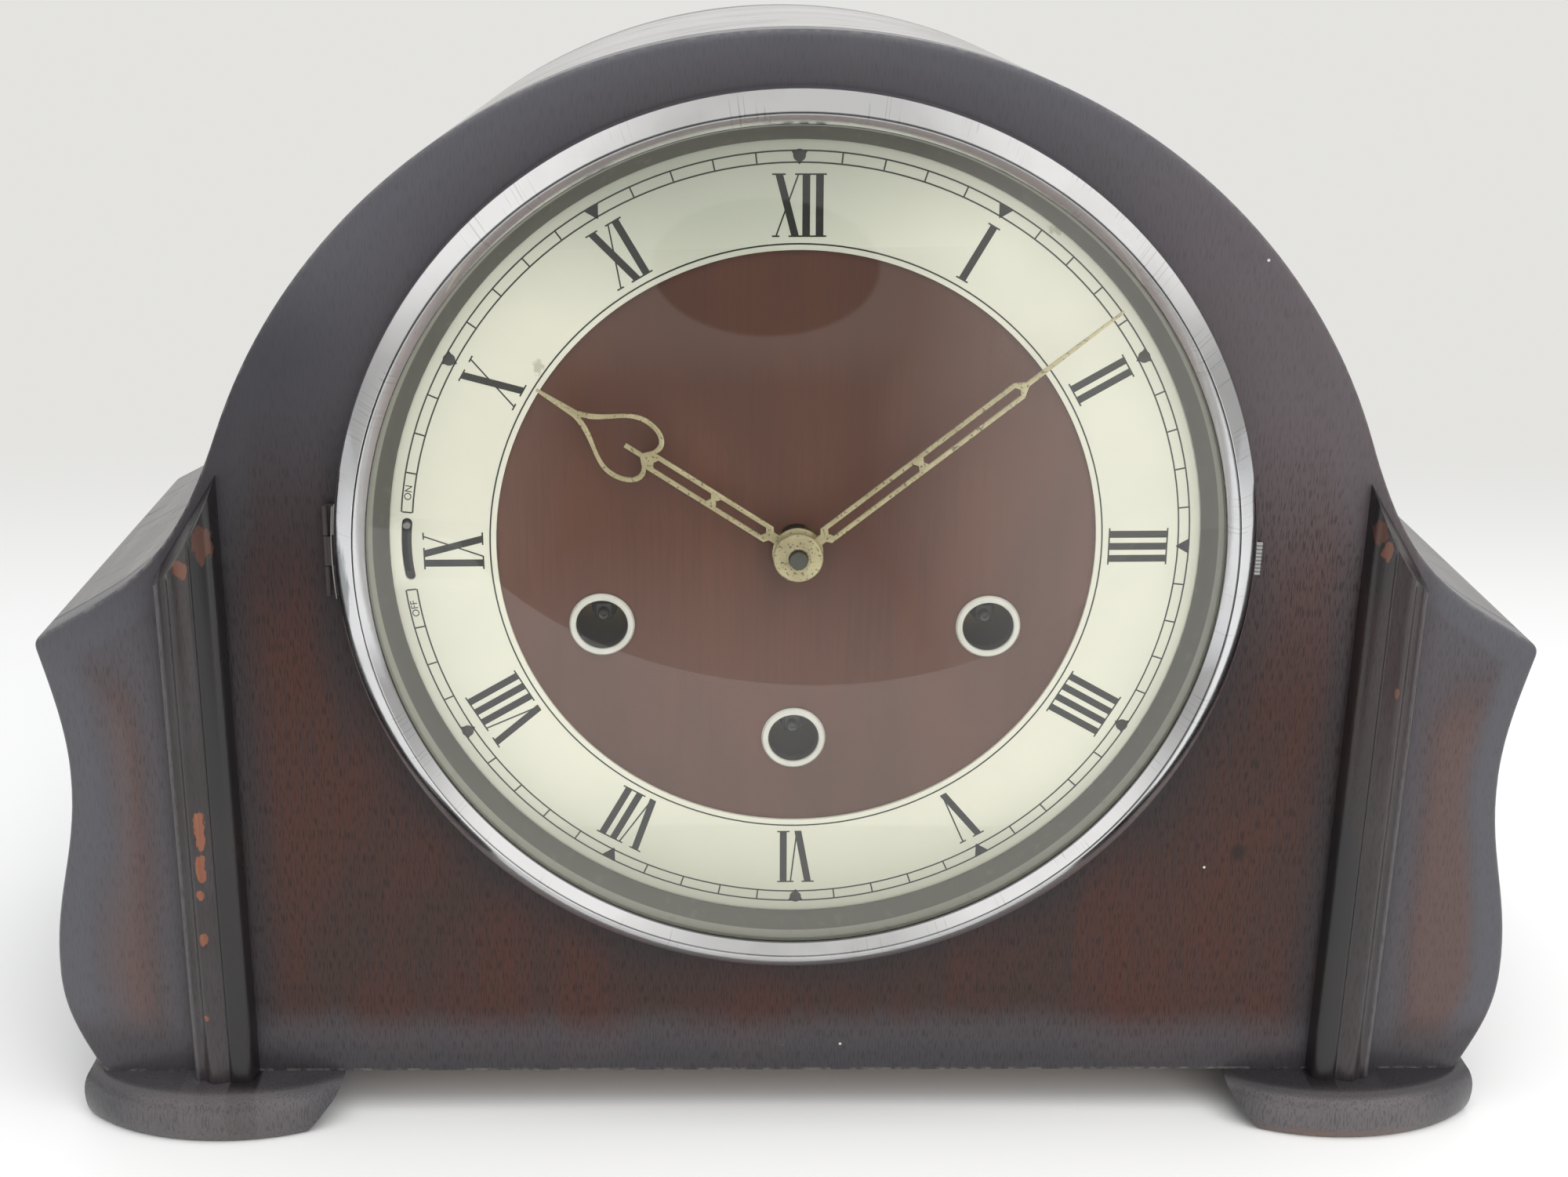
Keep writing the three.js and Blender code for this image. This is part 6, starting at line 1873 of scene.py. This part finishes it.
# %% Hour hand
HOUR_DEGREES = -57.3
HOUR_BACK = -1.0
HOUR_BAR_END = 34.6
HOUR_LINK = 20
HOUR_HUB = 5.1
HOUR_BORE = 2.7
HOUR_LENGTH = 60.8
HOUR_FORK = 52
HEART_HALF = 6.8


def heart_edge(inset):
    """Right half of the heart, from the bars round the lobe to the fork."""
    lobe = HEART_HALF - inset
    low = HOUR_BAR_END + 5
    start = Vector((BAR_HALF, HOUR_BAR_END + inset))
    widest = Vector((lobe, low))
    fork = Vector((0.75 - 0.7 * inset, HOUR_FORK - 1.4 * inset))
    first = Vector((BAR_HALF + 2, HOUR_BAR_END - 1.6 + 1.3 * inset))
    second = Vector((lobe, HOUR_BAR_END + 0.4 + inset))
    points = bezier(start, first, second, widest)
    points += bezier(widest, widest + Vector((0, 4.4)), Vector((2.2 - inset, low + 6.8)), fork) + [fork]
    return [(point.x, point.y) for point in points]


def heart_hole():
    stub = BAR_STROKE / 2
    right = [(stub, HOUR_BAR_END + 6), (stub, HOUR_BAR_END + 2.2), *heart_edge(BAR_STROKE)]
    return right + [(-x, z) for x, z in reversed(right)]


hour_edge = [(BAR_HALF, HOUR_BAR_END - 0.6), *heart_edge(0), (0.28, HOUR_LENGTH)]
hour_outlines = [
    hand_outline(HOUR_HUB, hour_edge),
    circle(HOUR_BORE, steps=BORE_STEPS),
    bar_slot(BAR_START + LINK_HALF, HOUR_LINK - LINK_HALF),
    bar_slot(HOUR_LINK + LINK_HALF, HOUR_BAR_END - LINK_HALF),
    heart_hole(),
]
hour_hand = make_hand(hour_outlines, HOUR_DEGREES, HOUR_BACK - HAND_THICKNESS, HOUR_BACK)
dress(hour_hand, "hour_pointer", gilt, "gilt", "hour_hand", "hour_hand")

# %% [markdown]
# ## Collet
# A domed washer, the collet, presses the hands onto the centre arbor, whose end shows in its hole. It
# is turned, with a raised lip round the hole that catches the light.

# %% Collet
COLLET_BACK = MINUTE_BACK - HAND_THICKNESS
COLLET_PROFILE = [
    (1.85, COLLET_BACK - 0.01),
    (4.95, COLLET_BACK - 0.01),
    (4.95, COLLET_BACK - 0.75),
    (4.75, COLLET_BACK - 1.0),
    (4.4, COLLET_BACK - 1.1),
    (2.5, COLLET_BACK - 1.2),
    (2.3, COLLET_BACK - 1.45),
    (2.05, COLLET_BACK - 1.45),
    (1.85, COLLET_BACK - 1.2),
]
dress(turn(COLLET_PROFILE, steps=64), "domed_collet", gilt, "gilt", "minute_hand", "hand_collet")

# %% [markdown]
# ## Back door
# The door at the back swings on two butt hinges and has a turned knob. It is a plate with a rounded
# edge, in the panel's mahogany without the toner.

# %% Door and knob
DOOR_HALF = 88
DOOR_BOTTOM = -100
DOOR_FRONT = 115.3
DOOR_BACK = 120.3
DOOR_ARCH_STEPS = 96


def arch_outline(half_width, bottom):
    turns = [math.pi * step / DOOR_ARCH_STEPS for step in range(DOOR_ARCH_STEPS + 1)]
    arch = [(half_width * math.cos(angle), ARCH_MIDDLE + half_width * math.sin(angle)) for angle in turns]
    return arch + [(-half_width, bottom), (half_width, bottom)]


door = cut_plate([arch_outline(DOOR_HALF, DOOR_BOTTOM)], DOOR_FRONT, DOOR_BACK, 0.9)
dress(door, "arched_door", door_wood, "mahogany", "door", "back_door")

KNOB_PLACE = (-78, -38)
KNOB_PROFILE = [
    (0, DOOR_BACK + 0.01),
    (4.0, DOOR_BACK + 0.01),
    (4.0, DOOR_BACK + 0.8),
    (3.6, DOOR_BACK + 1.3),
    (2.4, DOOR_BACK + 2.4),
    (2.2, DOOR_BACK + 3.6),
    (2.6, DOOR_BACK + 4.8),
    (4.2, DOOR_BACK + 6.0),
    (5.0, DOOR_BACK + 7.2),
    (4.7, DOOR_BACK + 8.6),
    (3.4, DOOR_BACK + 9.6),
    (1.6, DOOR_BACK + 9.95),
    (0, DOOR_BACK + 9.98),
]
dress(turn(KNOB_PROFILE, KNOB_PLACE, steps=40), "turned_knob", brass, "brass", "door", "door_knob")

# %% [markdown]
# ## Works
# The movement, its gongs, the door's hinges and the base board keep their solids, which have the right
# shapes already. A loop gives each its finish, and whatever isn't listed is brass.

# %% Finishes of the works
WORKS = {
    raw_wood: ["base_board"],
    dial_brown: ["dial_plate"],
    dark_steel: ["centre_arbor"],
    iron: ["gong_block"],
}
WORKS[steel] = "cannon_pinion anchor movement_bracket_left movement_bracket_right".split()
WORKS[steel] += [f"gong_rod_{i}" for i in range(1, 5)]
finished = {name for names in WORKS.values() for name in names}
shown = [name for name, node in nodes.items() if not node.hide_render]
WORKS[brass] = [name for name in shown if name not in finished]
for finish, names in WORKS.items():
    for name in names:
        nodes[name].data.materials.clear()
        nodes[name].data.materials.append(finish.material)
print({finish.material.name: len(names) for finish, names in WORKS.items()})

# %% [markdown]
# ## Floor
# The clock stands on a white table. The floor is one large plane that runs far back and turns into the
# pale backdrop there. In front the table ends in a shallow bite, so that the lower part of the glass
# mirrors the darker room.

# %% Floor
PALE_ROOM = (0.775, 0.77, 0.75, 1)
TABLE_WHITE = (0.93, 0.925, 0.91, 1)
FADE_START = 0.17
FADE_END = 0.5
FLOOR_BACK = 9.0
FLOOR_HALF = 8.0
FLOOR_STEPS = 200
BITE_NEAREST = spot(20, -219, 0)
BITE_DEPTH = 0.2
BITE_HALF = 0.24


def make_floor_finish():
    finish = Finish("white table")
    coordinates = finish.node("ShaderNodeTexCoord", output="Object")
    far = finish.rise(finish.apart(coordinates, "Y"), FADE_START, FADE_END)
    finish.set(Base_Color=TABLE_WHITE, Roughness=0.6)
    table = Wire(finish, finish.shader.outputs[0])
    backdrop = finish.node("ShaderNodeEmission", {}, {"Color": PALE_ROOM, "Strength": 1.0})
    mixed = finish.node("ShaderNodeMixShader", {}, {0: far, 1: table, 2: backdrop})
    finish.feed(finish.tree.nodes["Material Output"].inputs["Surface"], mixed)
    return finish


def table_edge(x):
    """How far forward the table reaches: a shallow bite in front of the clock."""
    away = min(1, abs(x - BITE_NEAREST.x) / BITE_HALF)
    return BITE_NEAREST.y - BITE_DEPTH * away**2


def table_x(step):
    share = 2 * step / FLOOR_STEPS - 1
    return FLOOR_HALF * share * abs(share) ** 2


table_columns = [table_x(step) for step in range(FLOOR_STEPS + 1)]
front_row = [Vector((x, table_edge(x), 0)) for x in table_columns]
floor = lay_sheet([front_row, [Vector((x, FLOOR_BACK, 0)) for x in table_columns]])
floor.name = "table_top"
floor.data.materials.append(make_floor_finish().material)
print("floor", [round(value, 2) for value in floor.dimensions])

# %% [markdown]
# ## Room
# Chrome, glass and polish show the room around them. So the world is a soft grey for light, the pale
# backdrop for the camera, and a brighter or darker wall for mirrors: a bright ceiling, a window at the
# right behind the camera, and a dark opening where the camera itself stands. Each part is a share of
# the brightest one.

# %% Room
ROOM_LIGHT = (0.62, 0.63, 0.65, 1)
BRIGHTEST = 1.4
BRIGHT_WALL = (BRIGHTEST, 0.99 * BRIGHTEST, 0.97 * BRIGHTEST, 1)
MIRRORED = {"ceiling": 0.78, "corners": 1.2, "sides": 0.5, "back": 0.92, "room": 0.18}
MIRRORED.update({"near_left": 0.62, "near_low": 0.68, "near_level": 0.48})
OPENING_PLACE = (0, 0, 0.012)
OPENING_SIZE = (0.127, 10, 0.076)
shares = {name: brightness / BRIGHTEST for name, brightness in MIRRORED.items()}
world = bpy.data.worlds.new("pale room")
bpy.context.scene.world = world
world.use_nodes = True
room = Finish("room", world.node_tree)


def part_way(first, second, share):
    return first + (second - first) * share


def behind_camera(direction, across, rising):
    """The wall that the dial faces, with the window and the dark opening."""
    window = room.rise(across, 0.04, 0.36) * (1 - 0.6 * room.rise(across, 0.62, 0.85))
    wall = window.at_least(shares["near_left"] * room.rise(-1 * across, 0.13, 0.34))
    wall = wall.at_least(shares["near_low"] * room.rise(-1 * rising, 0.2, 0.46))
    wall = wall.at_least(shares["near_level"] * room.rise(rising, -0.17, -0.05))
    wall = wall.at_least(shares["room"])
    opening = 1 - room.rise(room.distance(direction, OPENING_PLACE, OPENING_SIZE), 0.97, 1.03)
    return wall * (1 - 0.95 * opening)


def mirrored_room():
    """How bright each direction looks in a mirror, as a share of the brightest."""
    direction = room.node("ShaderNodeTexCoord", output="Generated")
    across, along, rising = [room.apart(direction, axis) for axis in "XYZ"]
    walls = part_way(shares["sides"], shares["back"], room.rise(along, 0.6, 0.9))
    near = behind_camera(direction, across, rising)
    walls = part_way(walls, near, 1 - room.rise(along, -0.6, 0.1))
    ceiling = part_way(shares["ceiling"], shares["corners"], room.rise(across.size(), 0.25, 0.6))
    return part_way(walls, ceiling, room.rise(rising, 0.08, 0.5))


in_mirror = room.blend(mirrored_room(), (0, 0, 0, 1), BRIGHT_WALL)
by_camera = room.node("ShaderNodeLightPath", output="Is Camera Ray")
by_mirror = room.node("ShaderNodeLightPath", output="Is Glossy Ray")
seen = room.blend(by_mirror, room.blend(by_camera, ROOM_LIGHT, PALE_ROOM), in_mirror)
room.feed(world.node_tree.nodes["Background"].inputs["Color"], seen)
print("a pale room with a dark opening in front")

# %% [markdown]
# ## Lamps
# Two large area lamps stand for the soft light of the room, one above and one in front at the right.
# They stay out of the mirrors, because the room already paints what those show.

# %% Lamps
def add_area(name, place, aim, size, energy):
    bpy.ops.object.select_all(action="DESELECT")
    bpy.ops.object.light_add(type="AREA", location=place)
    lamp = bpy.context.object
    lamp.name = name
    lamp.data.size = size
    lamp.data.energy = energy
    lamp.rotation_euler = (Vector(aim) - Vector(place)).to_track_quat("-Z", "Y").to_euler()
    lamp.visible_glossy = False


add_area("top_light", (0.1, -0.35, 1.1), (0, 0, 0.1), 1.0, 9.0)
add_area("front_light", (0.4, -1.3, 0.7), (0, 0, 0.1), 1.0, 6.0)
bpy.context.scene.view_settings.view_transform = "Standard"
print("two soft lights in a pale room")

# %% [markdown]
# ## Camera
# The camera repeats the photograph: close to the clock, a little left of the middle, looking down by
# twenty degrees and rolled by one. Its three directions come from the three angles.

# %% Camera
EYE = spot(-17.48, -399.97, 134.4)
YAW = math.radians(2.136)
TILT = math.radians(-19.593)
ROLL = math.radians(1.05)
LENS = 48.57


def camera_directions():
    """The camera's right, up and forward."""
    ahead = Vector((math.sin(YAW) * math.cos(TILT), math.cos(YAW) * math.cos(TILT), math.sin(TILT)))
    level = Vector((math.cos(YAW), -math.sin(YAW), 0))
    upright = level.cross(ahead)
    right = math.cos(ROLL) * level + math.sin(ROLL) * upright
    above = math.cos(ROLL) * upright - math.sin(ROLL) * level
    return right, above, ahead


right, above, ahead = camera_directions()
bpy.ops.object.select_all(action="DESELECT")
bpy.ops.object.camera_add()
camera = bpy.context.object
camera.data.lens = LENS
camera.data.clip_start = 0.01
camera.matrix_world = Matrix.Translation(EYE) @ Matrix((right, above, -ahead)).transposed().to_4x4()
bpy.context.scene.camera = camera
print("camera at", [round(value, 3) for value in EYE])
